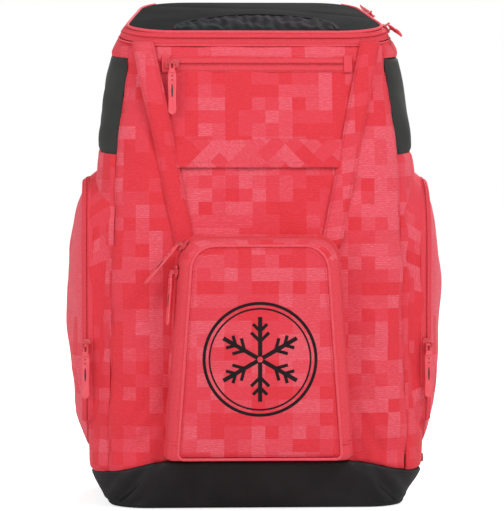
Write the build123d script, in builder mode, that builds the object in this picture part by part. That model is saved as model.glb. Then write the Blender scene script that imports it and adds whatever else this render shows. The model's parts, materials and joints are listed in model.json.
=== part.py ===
"""Ski boot backpack: sewn shell with a zipped lid, a front pocket and two side boot doors.

Millimetres. +Z is up, -Y is the front, +X is the right as seen from the front.
The origin is on the floor, in the middle of the outline of the whole pack.
"""

import math
import os

from build123d import *

# ---------------------------------------------------------------- driving dimensions
# Main body
body_width = 358.0           # widest, just above the base
body_depth = 273.0           # front wall to back wall, just above the base
body_height = 565.0          # top of the form that the lid is cut from
base_back_y = 125.0          # flat back wall
wall = 4.0                   # face fabric, foam and lining
foot_inset = 27.0            # how much narrower the base is on the floor, each side
foot_front_inset = 16.0
foot_back_inset = 9.0
flare_z = 40.0               # the base is widest here
waist_z = 300.0
chest_z = 400.0
shoulder_drop = 65.0         # shoulder line, below the top of the form
waist_inset, chest_inset, shoulder_inset, crown_inset = 2.0, 8.0, 22.0, 65.0
waist_lean, chest_lean, shoulder_lean, crown_lean = 5.0, 18.0, 40.0, 52.0
corner_radius = 58.0
foot_corner_radius = 42.0

# Base and seams
base_line_middle_z = 53.0    # top edge of the base in the middle of the front
base_line_side_z = 39.0      # and at the sides, where it dips
base_line_flat = 95.0        # half of the level stretch
base_floor = 4.0
back_seam_gap = 25.0         # side panels end this far in front of the back wall
seam_low_inset = 15.0        # front to side seam, inside the widest line, at the bottom
seam_mid_inset = 25.0
seam_high_inset = 38.0
wing_low_z, wing_high_z = 380.0, 483.0
wing_rise = 0.09             # the black side panels rise towards the back

# Lid and its zip
lid_front_z = 508.0          # where the lid parts from the body, at the front
lid_front_y = -106.0
lid_slope = 0.19
lid_thick = 6.5
lid_gap = 0.4
tape_wide = 6.4              # one zip tape, from its seam to the teeth
tape_thick = 1.2
coil_high = 1.8              # how far the coil stands above its tape
coil_half = 2.4              # half of the closed coil's width
zip_end_back = 22.0          # the lid zip stops this far in front of the back wall
lid_hinge_inset = 3.0
mesh_half_width, mesh_length, mesh_thick = 88.0, 74.0, 1.2
mesh_front_margin = 16.0

# Front pocket
pocket_front_y = -183.0
pocket_split_y = -166.0      # where its door parts from its gusset
pocket_root_y = -128.0       # the gusset's form ends here, inside the body
pocket_low_z, pocket_high_z = 58.0, 286.0
pocket_low_half, pocket_high_half = 92.0, 76.0
pocket_draft_split, pocket_draft_root = 7.0, 14.0
pocket_top_radius, pocket_low_radius = 26.0, 6.0
pocket_wall = 3.0
pocket_zip_end_z = 75.0
door_gap = 0.4               # between a door and the body round it

# Side boot doors
door_root_inset = 29.0       # where the gusset's form starts, inside the widest line
door_split_out = 5.0         # where the door parts from its gusset, outside the widest line
door_face_out = 25.0         # how far the bag's side stands out there
door_bend_out = 19.0
door_wall = 3.0
door_zip_end_z = 92.0

# Straps and band on the front
strap_wide, strap_thick = 22.0, 5.0
strap_top_x, strap_top_z = 121.0, 496.0
strap_foot_x, strap_foot_z = 79.0, 287.0
band_low_z, band_high_z = 368.0, 399.0
band_thick, band_gap, band_hem = 2.2, 1.0, 6.0

# Upper front pocket
upper_zip_z = 480.0
upper_zip_half = 97.0        # half of the closed coil's length
upper_tape_half_high = 9.0
upper_tape_end = 4.0
upper_slot_half_high = 4.0
bag_low_z = 372.0
bag_depth, bag_wall, bag_side_margin, bag_top_margin = 12.0, 1.2, 12.0, 8.0

# Inside
shelf_z, shelf_thick = 354.0, 4.0
divider_thick = 4.0
board_thick, board_margin = 3.0, 4.0
sheet_thick, sheet_half_width, sheet_low_z, sheet_high_z = 2.0, 115.0, 60.0, 340.0

# Carrying side
pad_thick, pad_wide, pad_centre_x, pad_low_z, pad_high_z = 14.0, 74.0, 66.0, 215.0, 470.0
lumbar_wide, lumbar_low_z, lumbar_high_z = 210.0, 70.0, 195.0
pad_corner = 16.0
harness_thick, harness_wide, harness_centre_x = 12.0, 56.0, 86.0
harness_top_x = 72.0
harness_top_z, harness_low_z = 508.0, 235.0
harness_straight_high_z, harness_straight_low_z = 456.0, 316.0
harness_low_in = 8.0         # its lower end is nearer the back wall than its straight run
lock_wide, lock_high, lock_thick, lock_bar = 36.0, 22.0, 5.0, 4.5
web_wide, web_thick = 25.0, 1.8
web_foot_x, web_foot_z = 122.0, 50.0
handle_half, handle_drop, handle_wide, handle_thick, handle_grip = 28.0, 44.0, 18.0, 4.0, 14.0
handle_pin_r, handle_pin_z, handle_clear = 3.0, 530.0, 0.1
sternum_z, sternum_web_wide, sternum_web_thick = 386.0, 20.0, 1.6
sternum_clear = 0.3
clip_wide, clip_high, clip_thick = 24.0, 26.0, 5.0
buckle_wide, buckle_high, buckle_thick, buckle_wall = 34.0, 36.0, 9.0, 2.0
prong_long, prong_high = 16.0, 4.5
male_long, male_clear = 20.0, 0.3
rivet_r, rivet_high, rivet_z = 5.0, 2.0, 48.0

# Zip sliders and their pulls
slider_long, slider_wide, slider_thick = 15.0, 10.0, 2.0
slider_clear = 0.5           # over the coil
skirt_thick = 1.2            # the slider's side walls beside the coil
skirt_gap = 0.9              # between them and the tape
post_wall = 1.0              # round the pin's ends
pin_r, pin_clear = 1.1, 0.1
pin_high = 3.4               # pin axis above the slider's top plate
post_thick, pin_span = 1.4, 5.0
eye_wall, eye_long = 1.3, 4.2
pull_long, pull_wide, pull_thick = 50.0, 9.0, 1.8
neck_long, neck_wide = 7.0, 4.0
upper_slider_x = -92.0
arc_slider_angle = 50.0      # from the top of the pocket's left corner, round its arc
pocket_slider_z = 258.0
side_slider_z = 176.0
lid_front_slider_y, lid_back_slider_y = -36.0, 56.0

# ---------------------------------------------------------------- derived values
half = body_width / 2
front_y = base_back_y - body_depth
shoulder_z = body_height - shoulder_drop
side_seam_y = base_back_y - back_seam_gap
far = 600.0                  # reaches past everything, for cutting tools

# height, inset from the widest line, front face, back face, corner radius
body_levels = (
    (0.0, foot_inset, front_y + foot_front_inset, base_back_y - foot_back_inset, foot_corner_radius),
    (flare_z, 0.0, front_y, base_back_y, corner_radius),
    (waist_z, waist_inset, front_y + waist_lean, base_back_y, corner_radius),
    (chest_z, chest_inset, front_y + chest_lean, base_back_y, corner_radius),
    (shoulder_z, shoulder_inset, front_y + shoulder_lean, base_back_y, corner_radius),
    (body_height, crown_inset, front_y + crown_lean, base_back_y, corner_radius),
)

# distance out from the widest line, low z, high z, front y, back y, corner radius
door_levels = (
    (-door_root_inset, 38.0, 384.0, -128.0, 70.0, 74.0),
    (door_split_out + 2.0, 61.0, 354.0, -116.0, 60.0, 66.0),
    (door_bend_out, 104.0, 322.0, -98.0, 42.0, 52.0),
    (door_face_out, 160.0, 280.0, -66.0, 10.0, 30.0),
)


def lid_line(y):
    """Height of the parting plane under the lid at depth y."""
    return lid_front_z + lid_slope * (y - lid_front_y)


# ---------------------------------------------------------------- cutting tools and forms
def body_form(grow=0.0):
    """The pack's outer form, with its walls moved outwards by grow."""
    with BuildPart() as form:
        for z, inset, front, back, corner in body_levels:
            with BuildSketch(Plane.XY.offset(z)):
                with Locations((0, (front + back) / 2)):
                    RectangleRounded(
                        2 * (half - inset + grow), back - front + 2 * grow, corner + grow
                    )
        loft(ruled=True)
    return form.part


def front_prism(points, y_low=-far, y_high=0.0):
    """A prism along Y with a polygon in the front view (x, z)."""
    with BuildPart() as prism:
        with BuildSketch(Plane.XZ.offset(-y_high)):
            with BuildLine():
                Polyline(*points, close=True)
            make_face()
        extrude(amount=y_high - y_low)
    return prism.part


def side_prism(points, x_low=-far, x_high=far):
    """A prism along X with a polygon in the side view (y, z)."""
    with BuildPart() as prism:
        with BuildSketch(Plane.YZ.offset(x_low)):
            with BuildLine():
                Polyline(*points, close=True)
            make_face()
        extrude(amount=x_high - x_low)
    return prism.part


def block(x_low, x_high, y_low, y_high, z_low, z_high):
    """A box between two corners."""
    with BuildPart() as made:
        with Locations(((x_low + x_high) / 2, (y_low + y_high) / 2, (z_low + z_high) / 2)):
            Box(x_high - x_low, y_high - y_low, z_high - z_low)
    return made.part


def between_lid_planes(low, high, y_high=far):
    """The slab between two planes parallel to the lid's parting plane."""
    return side_prism(
        [
            (-far, lid_line(-far) + low),
            (y_high, lid_line(y_high) + low),
            (y_high, lid_line(y_high) + high),
            (-far, lid_line(-far) + high),
        ]
    )


def carve(start, keep=(), cut=()):
    """start, kept only inside each of keep, and outside each of cut."""
    with BuildPart() as made:
        add(start)
        for tool in keep:
            add(tool, mode=Mode.INTERSECT)
        for tool in cut:
            add(tool, mode=Mode.SUBTRACT)
    return made.part


def joined(*pieces):
    """Separate solids held in one node."""
    with BuildPart() as made:
        for piece in pieces:
            add(piece)
    return made.part


def mirrored(piece):
    """piece on the other side of the middle plane."""
    with BuildPart() as made:
        add(piece)
        mirror(about=Plane.YZ, mode=Mode.REPLACE)
    return made.part


def save(piece, name):
    """Labels a finished piece and writes its STEP file."""
    piece.label = name
    export_step(piece, f"parts/{name}.step")


def save_pair(piece, name):
    """Writes a right-hand piece and its mirror image."""
    save(piece, f"{name}_right")
    save(mirrored(piece), f"{name}_left")


def pocket_form(grow=0.0):
    """The front pocket's outer form: a domed outline that widens towards the body."""
    levels = (
        (pocket_root_y, pocket_draft_root),
        (pocket_split_y, pocket_draft_split),
        (pocket_front_y - grow, 0.0),
    )
    with BuildPart() as form:
        for y, draft in levels:
            low, high = pocket_low_half + draft + grow, pocket_high_half + draft + grow
            low_z = pocket_low_z - draft / 4 - grow
            high_z = pocket_high_z + draft + grow
            with BuildSketch(Plane.XZ.offset(-y)):
                with BuildLine():
                    Polyline((-low, low_z), (low, low_z), (high, high_z), (-high, high_z), close=True)
                make_face()
                ordered = vertices().sort_by(Axis.Y)
                fillet(ordered[:2], pocket_low_radius + max(grow, -pocket_wall))
                fillet(vertices().sort_by(Axis.Y)[-2:], pocket_top_radius + grow)
        loft(ruled=True)
    return form.part


def door_form(grow=0.0):
    """The right side bulge that the boot door and its gusset are cut from."""
    with BuildPart() as form:
        for out, low_z, high_z, front, back, corner in door_levels:
            reach = half + out + (grow if out > -door_root_inset else 0.0)
            with BuildSketch(Plane.YZ.offset(reach)):
                with Locations(((front + back) / 2, (low_z + high_z) / 2)):
                    RectangleRounded(back - front + 2 * grow, high_z - low_z + 2 * grow, corner + grow)
        loft(ruled=True)
    return form.part


outer = body_form()
inner = body_form(-wall)
tape_skin = body_form(tape_thick)
coil_skin = body_form(tape_thick + coil_high)

base_region = front_prism(
    [
        (-far, -10),
        (far, -10),
        (far, base_line_side_z),
        (half, base_line_side_z),
        (base_line_flat, base_line_middle_z),
        (-base_line_flat, base_line_middle_z),
        (-half, base_line_side_z),
        (-far, base_line_side_z),
    ],
    y_high=far,
)
below_lid = between_lid_planes(-far, 0.0)
ahead_of_back = block(-far, far, -far, side_seam_y, -far, far)
front_half = block(-far, far, -far, 0, -far, far)
right_half = block(0, far, -far, far, -far, far)

# The wall between the base and the lid, still in one piece
shell = carve(outer, keep=(below_lid,), cut=(inner, base_region))


def strap_line_x(z):
    """Middle of the right front strap at height z."""
    share = (z - strap_foot_z) / (strap_top_z - strap_foot_z)
    return strap_foot_x + share * (strap_top_x - strap_foot_x)


def seam_x(z):
    """Front to side seam at height z, on the right."""
    if z < wing_low_z:
        share = z / wing_low_z
        return half - seam_low_inset - share * (seam_mid_inset - seam_low_inset)
    share = (z - wing_low_z) / (wing_high_z - wing_low_z)
    return half - seam_mid_inset - share * (seam_high_inset - seam_mid_inset)


# ---------------------------------------------------------------- base
os.makedirs("parts", exist_ok=True)

base_cavity = carve(inner, keep=(block(-far, far, -far, far, base_floor, far),))
base_tub = carve(outer, keep=(base_region,), cut=(base_cavity,))
save(base_tub, "base_tub")

base_board = carve(
    body_form(-wall - board_margin),
    keep=(block(-far, far, -far, far, base_floor, base_floor + board_thick),),
)
save(base_board, "base_board")

# ---------------------------------------------------------------- wall panels
center_region = front_prism(
    [
        (-base_line_flat, 0),
        (base_line_flat, 0),
        (strap_foot_x, strap_foot_z),
        (strap_line_x(body_height), body_height),
        (-strap_line_x(body_height), body_height),
        (-strap_foot_x, strap_foot_z),
    ]
)
above_pocket = block(-far, far, -far, far, strap_foot_z, far)

upper_slot = block(
    -upper_zip_half + upper_tape_end,
    upper_zip_half - upper_tape_end,
    -far,
    0,
    upper_zip_z - upper_slot_half_high,
    upper_zip_z + upper_slot_half_high,
)
front_panel_upper = carve(shell, keep=(center_region, above_pocket), cut=(upper_slot,))
save(front_panel_upper, "front_panel_upper")

front_panel_lower = carve(shell, keep=(center_region,), cut=(above_pocket,))
save(front_panel_lower, "front_panel_lower")

beyond_seam = front_prism(
    [
        (seam_x(0), -10),
        (far, -10),
        (far, body_height),
        (seam_x(wing_high_z + 40), wing_high_z + 40),
        (seam_x(wing_high_z), wing_high_z),
        (seam_x(wing_low_z), wing_low_z),
    ],
    y_high=far,
)
wing_zone = side_prism(
    [
        (-far, wing_low_z + wing_rise * (-far - front_y)),
        (far, wing_low_z + wing_rise * (far - front_y)),
        (far, wing_high_z + wing_rise * (far - front_y)),
        (-far, wing_high_z + wing_rise * (-far - front_y)),
    ]
)
below_wing_top = side_prism(
    [
        (-far, -far),
        (far, -far),
        (far, wing_high_z + wing_rise * (far - front_y)),
        (-far, wing_high_z + wing_rise * (-far - front_y)),
    ]
)
below_wing = side_prism(
    [
        (-far, -far),
        (far, -far),
        (far, wing_low_z + wing_rise * (far - front_y)),
        (-far, wing_low_z + wing_rise * (-far - front_y)),
    ]
)
boot_opening_depth = 12.0
with BuildPart() as boot_hole:
    _, hole_low, hole_high, hole_front, hole_back, hole_corner = door_levels[1]
    with BuildSketch(Plane.YZ.offset(half - far / 4)):
        with Locations(((hole_front + hole_back) / 2, (hole_low + hole_high) / 2)):
            RectangleRounded(
                hole_back - hole_front - 2 * boot_opening_depth,
                hole_high - hole_low - 2 * boot_opening_depth,
                hole_corner - boot_opening_depth,
            )
    extrude(amount=far)

side_wall = carve(shell, keep=(right_half, ahead_of_back))
side_panel = carve(side_wall, keep=(beyond_seam, below_wing), cut=(boot_hole.part,))
save_pair(side_panel, "side_panel")

side_wing = carve(side_wall, keep=(beyond_seam, wing_zone))
save_pair(side_wing, "side_wing")

lower_outside = carve(beyond_seam, keep=(below_wing_top,))
front_panel = carve(side_wall, cut=(center_region, lower_outside))
save_pair(front_panel, "front_panel")

back_panel = carve(shell, cut=(ahead_of_back,))
save(back_panel, "back_panel")

# ---------------------------------------------------------------- inside
frame_sheet = block(
    -sheet_half_width,
    sheet_half_width,
    base_back_y - wall - sheet_thick,
    base_back_y - wall,
    sheet_low_z,
    sheet_high_z,
)
save(frame_sheet, "frame_sheet")

boot_divider = carve(
    inner,
    keep=(
        block(
            -divider_thick / 2,
            divider_thick / 2,
            -far,
            base_back_y - wall - sheet_thick,
            base_floor + board_thick,
            shelf_z,
        ),
    ),
)
save(boot_divider, "boot_divider")

helmet_shelf = carve(inner, keep=(block(-far, far, -far, far, shelf_z, shelf_z + shelf_thick),))
save(helmet_shelf, "helmet_shelf")

bag_half = upper_zip_half + bag_side_margin
bag_top_z = upper_zip_z + bag_top_margin
bag_block = block(-bag_half, bag_half, -far, 0, bag_low_z, bag_top_z)
bag_hollow = block(
    -bag_half + bag_wall, bag_half - bag_wall, -far, 0, bag_low_z + bag_wall, bag_top_z - bag_wall
)
bag_back = body_form(-wall - bag_depth)
bag_back_inner = body_form(-wall - bag_depth + bag_wall)
bag_air = carve(bag_hollow, cut=(bag_back_inner,))
upper_pocket_bag = carve(inner, keep=(bag_block,), cut=(bag_back, bag_air))
save(upper_pocket_bag, "upper_pocket_bag")

# ---------------------------------------------------------------- zip of the upper front pocket
upper_tape_block = block(
    -upper_zip_half - upper_tape_end,
    upper_zip_half + upper_tape_end,
    -far,
    0,
    upper_zip_z - upper_tape_half_high,
    upper_zip_z + upper_tape_half_high,
)
upper_split = block(
    -upper_zip_half + upper_tape_end,
    upper_zip_half - upper_tape_end,
    -far,
    0,
    upper_zip_z - coil_half / 2,
    upper_zip_z + coil_half / 2,
)
upper_tape = carve(tape_skin, keep=(upper_tape_block,), cut=(outer, upper_split))
upper_coil_block = block(
    -upper_zip_half, upper_zip_half, -far, 0, upper_zip_z - coil_half, upper_zip_z + coil_half
)
upper_coil = carve(coil_skin, keep=(upper_coil_block,), cut=(tape_skin,))
save(joined(upper_tape, upper_coil), "upper_zip")

# ---------------------------------------------------------------- lid and its zip
lid_region = between_lid_planes(lid_gap, lid_thick)
zip_end_y = base_back_y - zip_end_back
lid_core = body_form(-tape_thick)
lid_panel = carve(lid_core, keep=(lid_region,))
save(lid_panel, "lid_panel")

lid_tape = carve(
    tape_skin, keep=(between_lid_planes(lid_gap, lid_thick, zip_end_y),), cut=(lid_core,)
)
lid_coil_upper = carve(
    coil_skin, keep=(between_lid_planes(lid_gap, coil_half, zip_end_y),), cut=(tape_skin,)
)
save(joined(lid_tape, lid_coil_upper), "lid_zip_upper")

rim_tape = carve(tape_skin, keep=(between_lid_planes(-tape_wide, 0, zip_end_y),), cut=(outer,))
lid_coil_lower = carve(
    coil_skin, keep=(between_lid_planes(-coil_half, 0, zip_end_y),), cut=(tape_skin,)
)
save(joined(rim_tape, lid_coil_lower), "lid_zip_lower")

lid_tilt = math.degrees(math.atan(lid_slope))
mesh_y = lid_front_y + mesh_front_margin
lid_top = Plane(
    origin=(0, mesh_y, lid_line(mesh_y) + lid_thick),
    x_dir=(1, 0, 0),
    z_dir=(0, -math.sin(math.radians(lid_tilt)), math.cos(math.radians(lid_tilt))),
)
with BuildPart() as lid_mesh:
    with BuildSketch(lid_top):
        Ellipse(mesh_half_width, mesh_length)
        with Locations((0, -mesh_length / 2)):
            Rectangle(2 * mesh_half_width, mesh_length, mode=Mode.SUBTRACT)
    extrude(amount=mesh_thick)
save(lid_mesh.part, "lid_mesh")

# ---------------------------------------------------------------- front pocket
pocket_outer = pocket_form()
pocket_inner = pocket_form(-pocket_wall)
pocket_tape_skin = pocket_form(tape_thick)
pocket_coil_skin = pocket_form(tape_thick + coil_high)
door_side = block(-far, far, -far, pocket_split_y - door_gap, -far, far)
gusset_side = block(-far, far, pocket_split_y, far, -far, far)

pocket_gusset = carve(pocket_outer, keep=(gusset_side,), cut=(pocket_inner, outer))
save(pocket_gusset, "pocket_gusset")

pocket_panel = carve(pocket_outer, keep=(door_side,), cut=(pocket_inner,))
save(pocket_panel, "pocket_panel")


def pocket_zip_half(skin, core, y_low, y_high):
    """The zip's tape or coil between two depths, above its lower ends."""
    zone = block(-far, far, y_low, y_high, pocket_zip_end_z, far)
    return carve(skin, keep=(zone,), cut=(core,))


pocket_zip_door = joined(
    pocket_zip_half(
        pocket_tape_skin, pocket_outer, pocket_split_y - tape_wide, pocket_split_y - door_gap
    ),
    pocket_zip_half(
        pocket_coil_skin, pocket_tape_skin, pocket_split_y - coil_half, pocket_split_y - door_gap
    ),
)
save(pocket_zip_door, "pocket_zip_door")

pocket_zip_body = joined(
    pocket_zip_half(pocket_tape_skin, pocket_outer, pocket_split_y, pocket_split_y + tape_wide),
    pocket_zip_half(pocket_coil_skin, pocket_tape_skin, pocket_split_y, pocket_split_y + coil_half),
)
save(pocket_zip_body, "pocket_zip_body")

# ---------------------------------------------------------------- front straps and band
strap_run = Vector(strap_top_x - strap_foot_x, strap_top_z - strap_foot_z)
strap_side = Vector(strap_run.Y, -strap_run.X).normalized() * (strap_wide / 2)
strap_foot_centre = Vector(strap_foot_x, strap_foot_z)
strap_top_centre = Vector(strap_top_x, strap_top_z)
strap_corners = [
    tuple(corner)[:2]
    for corner in (
        strap_foot_centre - strap_side,
        strap_foot_centre + strap_side,
        strap_top_centre + strap_side,
        strap_top_centre - strap_side,
    )
]
strap_prism = front_prism(strap_corners)
front_strap = carve(
    body_form(strap_thick),
    keep=(strap_prism,),
    cut=(outer, pocket_coil_skin, between_lid_planes(-tape_wide - strap_thick, far)),
)
save_pair(front_strap, "front_strap")


def strap_inner_x(z):
    """Inner edge of the right front strap at height z."""
    return strap_line_x(z) - strap_wide / 2 * strap_run.length / strap_run.Y


band_corners = [
    (-strap_inner_x(band_low_z), band_low_z),
    (strap_inner_x(band_low_z), band_low_z),
    (strap_inner_x(band_high_z), band_high_z),
    (-strap_inner_x(band_high_z), band_high_z),
]
band_air_half = strap_inner_x(band_low_z) - band_hem
band_air = block(-band_air_half, band_air_half, -far, 0, band_low_z - 1, band_high_z - band_hem)
band_air_skin = carve(body_form(band_gap), keep=(band_air,))
front_band = carve(
    body_form(band_thick), keep=(front_prism(band_corners),), cut=(outer, band_air_skin)
)
save(front_band, "front_band")

# ---------------------------------------------------------------- side boot doors
bulge = door_form()
bulge_inner = door_form(-door_wall)
bulge_tape_skin = door_form(tape_thick)
bulge_coil_skin = door_form(tape_thick + coil_high)
split_x = half + door_split_out

side_gusset = carve(
    bulge, keep=(block(0, split_x, -far, far, -far, far),), cut=(bulge_inner, outer)
)
save_pair(side_gusset, "side_gusset")

side_door = carve(
    bulge, keep=(block(split_x + door_gap, far, -far, far, -far, far),), cut=(bulge_inner,)
)
save_pair(side_door, "side_door")


def door_zip_half(skin, core, x_low, x_high):
    """The side zip's tape or coil between two distances out, above its lower ends."""
    zone = block(x_low, x_high, -far, far, door_zip_end_z, far)
    return carve(skin, keep=(zone,), cut=(core,))


side_zip_door = joined(
    door_zip_half(bulge_tape_skin, bulge, split_x + door_gap, split_x + tape_wide),
    door_zip_half(bulge_coil_skin, bulge_tape_skin, split_x + door_gap, split_x + coil_half),
)
save_pair(side_zip_door, "side_zip_door")

side_zip_body = joined(
    door_zip_half(bulge_tape_skin, bulge, split_x - tape_wide / 2, split_x),
    door_zip_half(bulge_coil_skin, bulge_tape_skin, split_x - coil_half, split_x),
)
save(joined(side_zip_body, mirrored(side_zip_body)), "side_zips_body")


# ---------------------------------------------------------------- zip sliders and pulls
def turned_on(face, angle):
    """The plane face, turned about its own normal."""
    turn = math.radians(angle)
    return Plane(
        origin=tuple(face.origin),
        x_dir=tuple(face.x_dir * math.cos(turn) + face.y_dir * math.sin(turn)),
        z_dir=tuple(face.z_dir),
    )


def slider_part(face, pull_angle, skirts):
    """A slider whose underside lies slider_clear over the coil on the plane face.

    The face's x axis runs along the zip and its z axis points away from the pack. The pin
    that carries the pull lies at right angles to pull_angle, which is measured on the face.
    Skirts reach down beside the coil on the given sides of the zip.
    """
    with BuildPart(face) as shoe:
        with Locations((0, 0, slider_clear + slider_thick / 2)):
            Box(slider_long, slider_wide, slider_thick)
        upright = Axis(origin=tuple(face.origin), direction=tuple(face.z_dir))
        fillet(shoe.edges().filter_by(upright), slider_wide * 0.3)
        skirt_low = skirt_gap - coil_high
        skirt_high = slider_clear + slider_thick / 2
        for side in skirts:
            with Locations((0, side * (slider_wide - skirt_thick) / 2, (skirt_low + skirt_high) / 2)):
                Box(slider_long * 0.4, skirt_thick, skirt_high - skirt_low)
    with BuildPart(turned_on(face, pull_angle)) as yoke:
        for side in (-1, 1):
            with Locations((0, side * (pin_span + post_thick) / 2, slider_clear + slider_thick / 2)):
                Box(
                    2 * pin_r + 2 * post_wall,
                    post_thick,
                    slider_thick / 2 + pin_high + pin_r + post_wall,
                    align=(Align.CENTER, Align.CENTER, Align.MIN),
                )
        with Locations(Location((0, 0, slider_clear + slider_thick + pin_high), (90, 0, 0))):
            Cylinder(pin_r, pin_span + post_thick)
    return joined(shoe.part, yoke.part)


def pull_part(face, pull_angle):
    """The pull that hangs on the slider's pin: an eye, a neck and a round-ended tab."""
    axis_high = slider_clear + slider_thick + pin_high
    eye_r = pin_r + pin_clear + eye_wall
    with BuildPart(turned_on(face, pull_angle)) as pull:
        with Locations(Location((0, 0, axis_high), (90, 0, 0))):
            Cylinder(eye_r, eye_long)
        with Locations((neck_long / 2, 0, axis_high)):
            Box(neck_long, neck_wide, pull_thick)
        with Locations((neck_long + (pull_long - pull_wide / 2) / 2, 0, axis_high)):
            Box(pull_long - pull_wide / 2, pull_wide, pull_thick)
        with Locations((neck_long + pull_long - pull_wide / 2, 0, axis_high)):
            Cylinder(pull_wide / 2, pull_thick)
        with Locations(Location((0, 0, axis_high), (90, 0, 0))):
            Cylinder(pin_r + pin_clear, 2 * eye_long, mode=Mode.SUBTRACT)
    return pull.part


def body_front_y(z, grow=0.0):
    """Depth of the body's flat front face at height z."""
    for low, high in zip(body_levels, body_levels[1:]):
        if low[0] <= z <= high[0]:
            share = (z - low[0]) / (high[0] - low[0])
            return low[2] + share * (high[2] - low[2]) - grow
    return body_levels[-1][2] - grow


def front_normal(z):
    """Outward normal of the body's flat front face at height z."""
    rise = 1.0
    lean = body_front_y(z + rise) - body_front_y(z)
    return Vector(0, -rise, lean).normalized()


coil_top = tape_thick + coil_high


def pocket_side_x(z, grow):
    """Half width of the front pocket's form at height z, where its door parts."""
    low_z = pocket_low_z - pocket_draft_split / 4 - grow
    high_z = pocket_high_z + pocket_draft_split + grow
    low = pocket_low_half + pocket_draft_split + grow
    high = pocket_high_half + pocket_draft_split + grow
    return low + (high - low) * (z - low_z) / (high_z - low_z)


def door_front_at(out, grow):
    """Depth of the front of the side bulge, out from the widest line, near where it parts."""
    low, high = door_levels[0], door_levels[1]
    share = (out - low[0]) / (high[0] + grow - low[0])
    return low[3] + share * (high[3] - low[3]) - grow


def lid_side_point(y):
    """Point on the right run of the lid's coil at depth y, on top of the coil."""
    z = lid_line(y)
    share = (z - shoulder_z) / shoulder_drop
    x = half - shoulder_inset - share * (crown_inset - shoulder_inset)
    return Vector(x + coil_top, y, z)


# Upper pocket: the zip runs level across the front.
upper_slider_face = Plane(
    origin=(upper_slider_x, body_front_y(upper_zip_z, coil_top), upper_zip_z),
    x_dir=(1, 0, 0),
    z_dir=tuple(front_normal(upper_zip_z)),
)

# Front pocket: one slider on the left corner's arc and one on the straight run below it.
# Both lean forwards, half way between the slopes of the door and of its gusset.
door_lean = math.atan(pocket_draft_split / (pocket_split_y - pocket_front_y))
gusset_lean = math.atan((pocket_draft_root - pocket_draft_split) / (pocket_root_y - pocket_split_y))
pocket_lean = (door_lean + gusset_lean) / 2
taper = math.atan(
    (pocket_low_half - pocket_high_half) / (pocket_high_z - pocket_low_z + pocket_draft_split * 1.25)
)
arc_r = pocket_top_radius + coil_top
arc_centre_x = -(
    pocket_high_half + pocket_draft_split - pocket_top_radius / math.tan((math.pi / 2 + taper) / 2)
)
arc_centre_z = pocket_high_z + pocket_draft_split - pocket_top_radius
arc_turn = math.radians(arc_slider_angle)
arc_slider_face = Plane(
    origin=(
        arc_centre_x - arc_r * math.sin(arc_turn),
        pocket_split_y,
        arc_centre_z + arc_r * math.cos(arc_turn),
    ),
    x_dir=(-math.cos(arc_turn), 0, -math.sin(arc_turn)),
    z_dir=(
        -math.sin(arc_turn) * math.cos(pocket_lean),
        -math.sin(pocket_lean),
        math.cos(arc_turn) * math.cos(pocket_lean),
    ),
)
run_slider_face = Plane(
    origin=(-pocket_side_x(pocket_slider_z, coil_top), pocket_split_y, pocket_slider_z),
    x_dir=(-math.sin(taper), 0, -math.cos(taper)),
    z_dir=(
        -math.cos(taper) * math.cos(pocket_lean),
        -math.sin(pocket_lean),
        math.sin(taper) * math.cos(pocket_lean),
    ),
)

# Side doors: the front run of each zip is upright.
bulge_slope = (door_levels[1][3] - door_levels[0][3]) / (door_levels[1][0] - door_levels[0][0])
bulge_turn = math.atan(bulge_slope)
side_slider_face = Plane(
    origin=(split_x, door_front_at(door_split_out, coil_top), side_slider_z),
    x_dir=(0, 0, -1),
    z_dir=(math.sin(bulge_turn), -math.cos(bulge_turn), 0),
)

# Lid: its zip's right run climbs towards the back on the sloping side.
crown_run = Vector(-(crown_inset - shoulder_inset), 0, shoulder_drop).normalized()
lid_side_normal = Vector(crown_run.Z, 0, -crown_run.X)
lid_run = Vector(0, -lid_slope, 1).cross(lid_side_normal).normalized()


def lid_slider_face(y):
    """The plane a lid slider lies on at depth y."""
    return Plane(
        origin=tuple(lid_side_point(y)), x_dir=tuple(lid_run), z_dir=tuple(lid_side_normal)
    )


# name: plane, direction of the pull on it, sides of the zip with a skirt
slider_spots = {
    "upper_pocket": (upper_slider_face, -90.0, (-1, 1)),
    "pocket_arc": (arc_slider_face, 0.0, (1,)),
    "pocket_run": (run_slider_face, 0.0, (1,)),
    "side_right": (side_slider_face, 0.0, (1,)),
    "lid_front": (lid_slider_face(lid_front_slider_y), 180.0, (1,)),
    "lid_back": (lid_slider_face(lid_back_slider_y), 0.0, (1,)),
}
for name, (face, angle, skirts) in slider_spots.items():
    slider = slider_part(face, angle, skirts)
    pull = pull_part(face, angle)
    save(slider, f"{name}_slider")
    save(pull, f"{name}_pull")
    if name == "side_right":
        save(mirrored(slider), "side_left_slider")
        save(mirrored(pull), "side_left_pull")

# ---------------------------------------------------------------- carrying side
with BuildPart() as back_pad:
    with Locations((pad_centre_x, base_back_y + pad_thick / 2, (pad_low_z + pad_high_z) / 2)):
        Box(pad_wide, pad_thick, pad_high_z - pad_low_z)
    fillet(back_pad.edges().filter_by(Axis.Y), pad_corner)
    chamfer(back_pad.faces().sort_by(Axis.Y)[-1].edges(), pad_thick / 3)
with BuildPart() as lumbar_pad:
    with Locations((0, base_back_y + pad_thick / 2, (lumbar_low_z + lumbar_high_z) / 2)):
        Box(lumbar_wide, pad_thick, lumbar_high_z - lumbar_low_z)
    fillet(lumbar_pad.edges().filter_by(Axis.Y), pad_corner)
    chamfer(lumbar_pad.faces().sort_by(Axis.Y)[-1].edges(), pad_thick / 3)
save(joined(back_pad.part, mirrored(back_pad.part), lumbar_pad.part), "back_pads")

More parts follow.
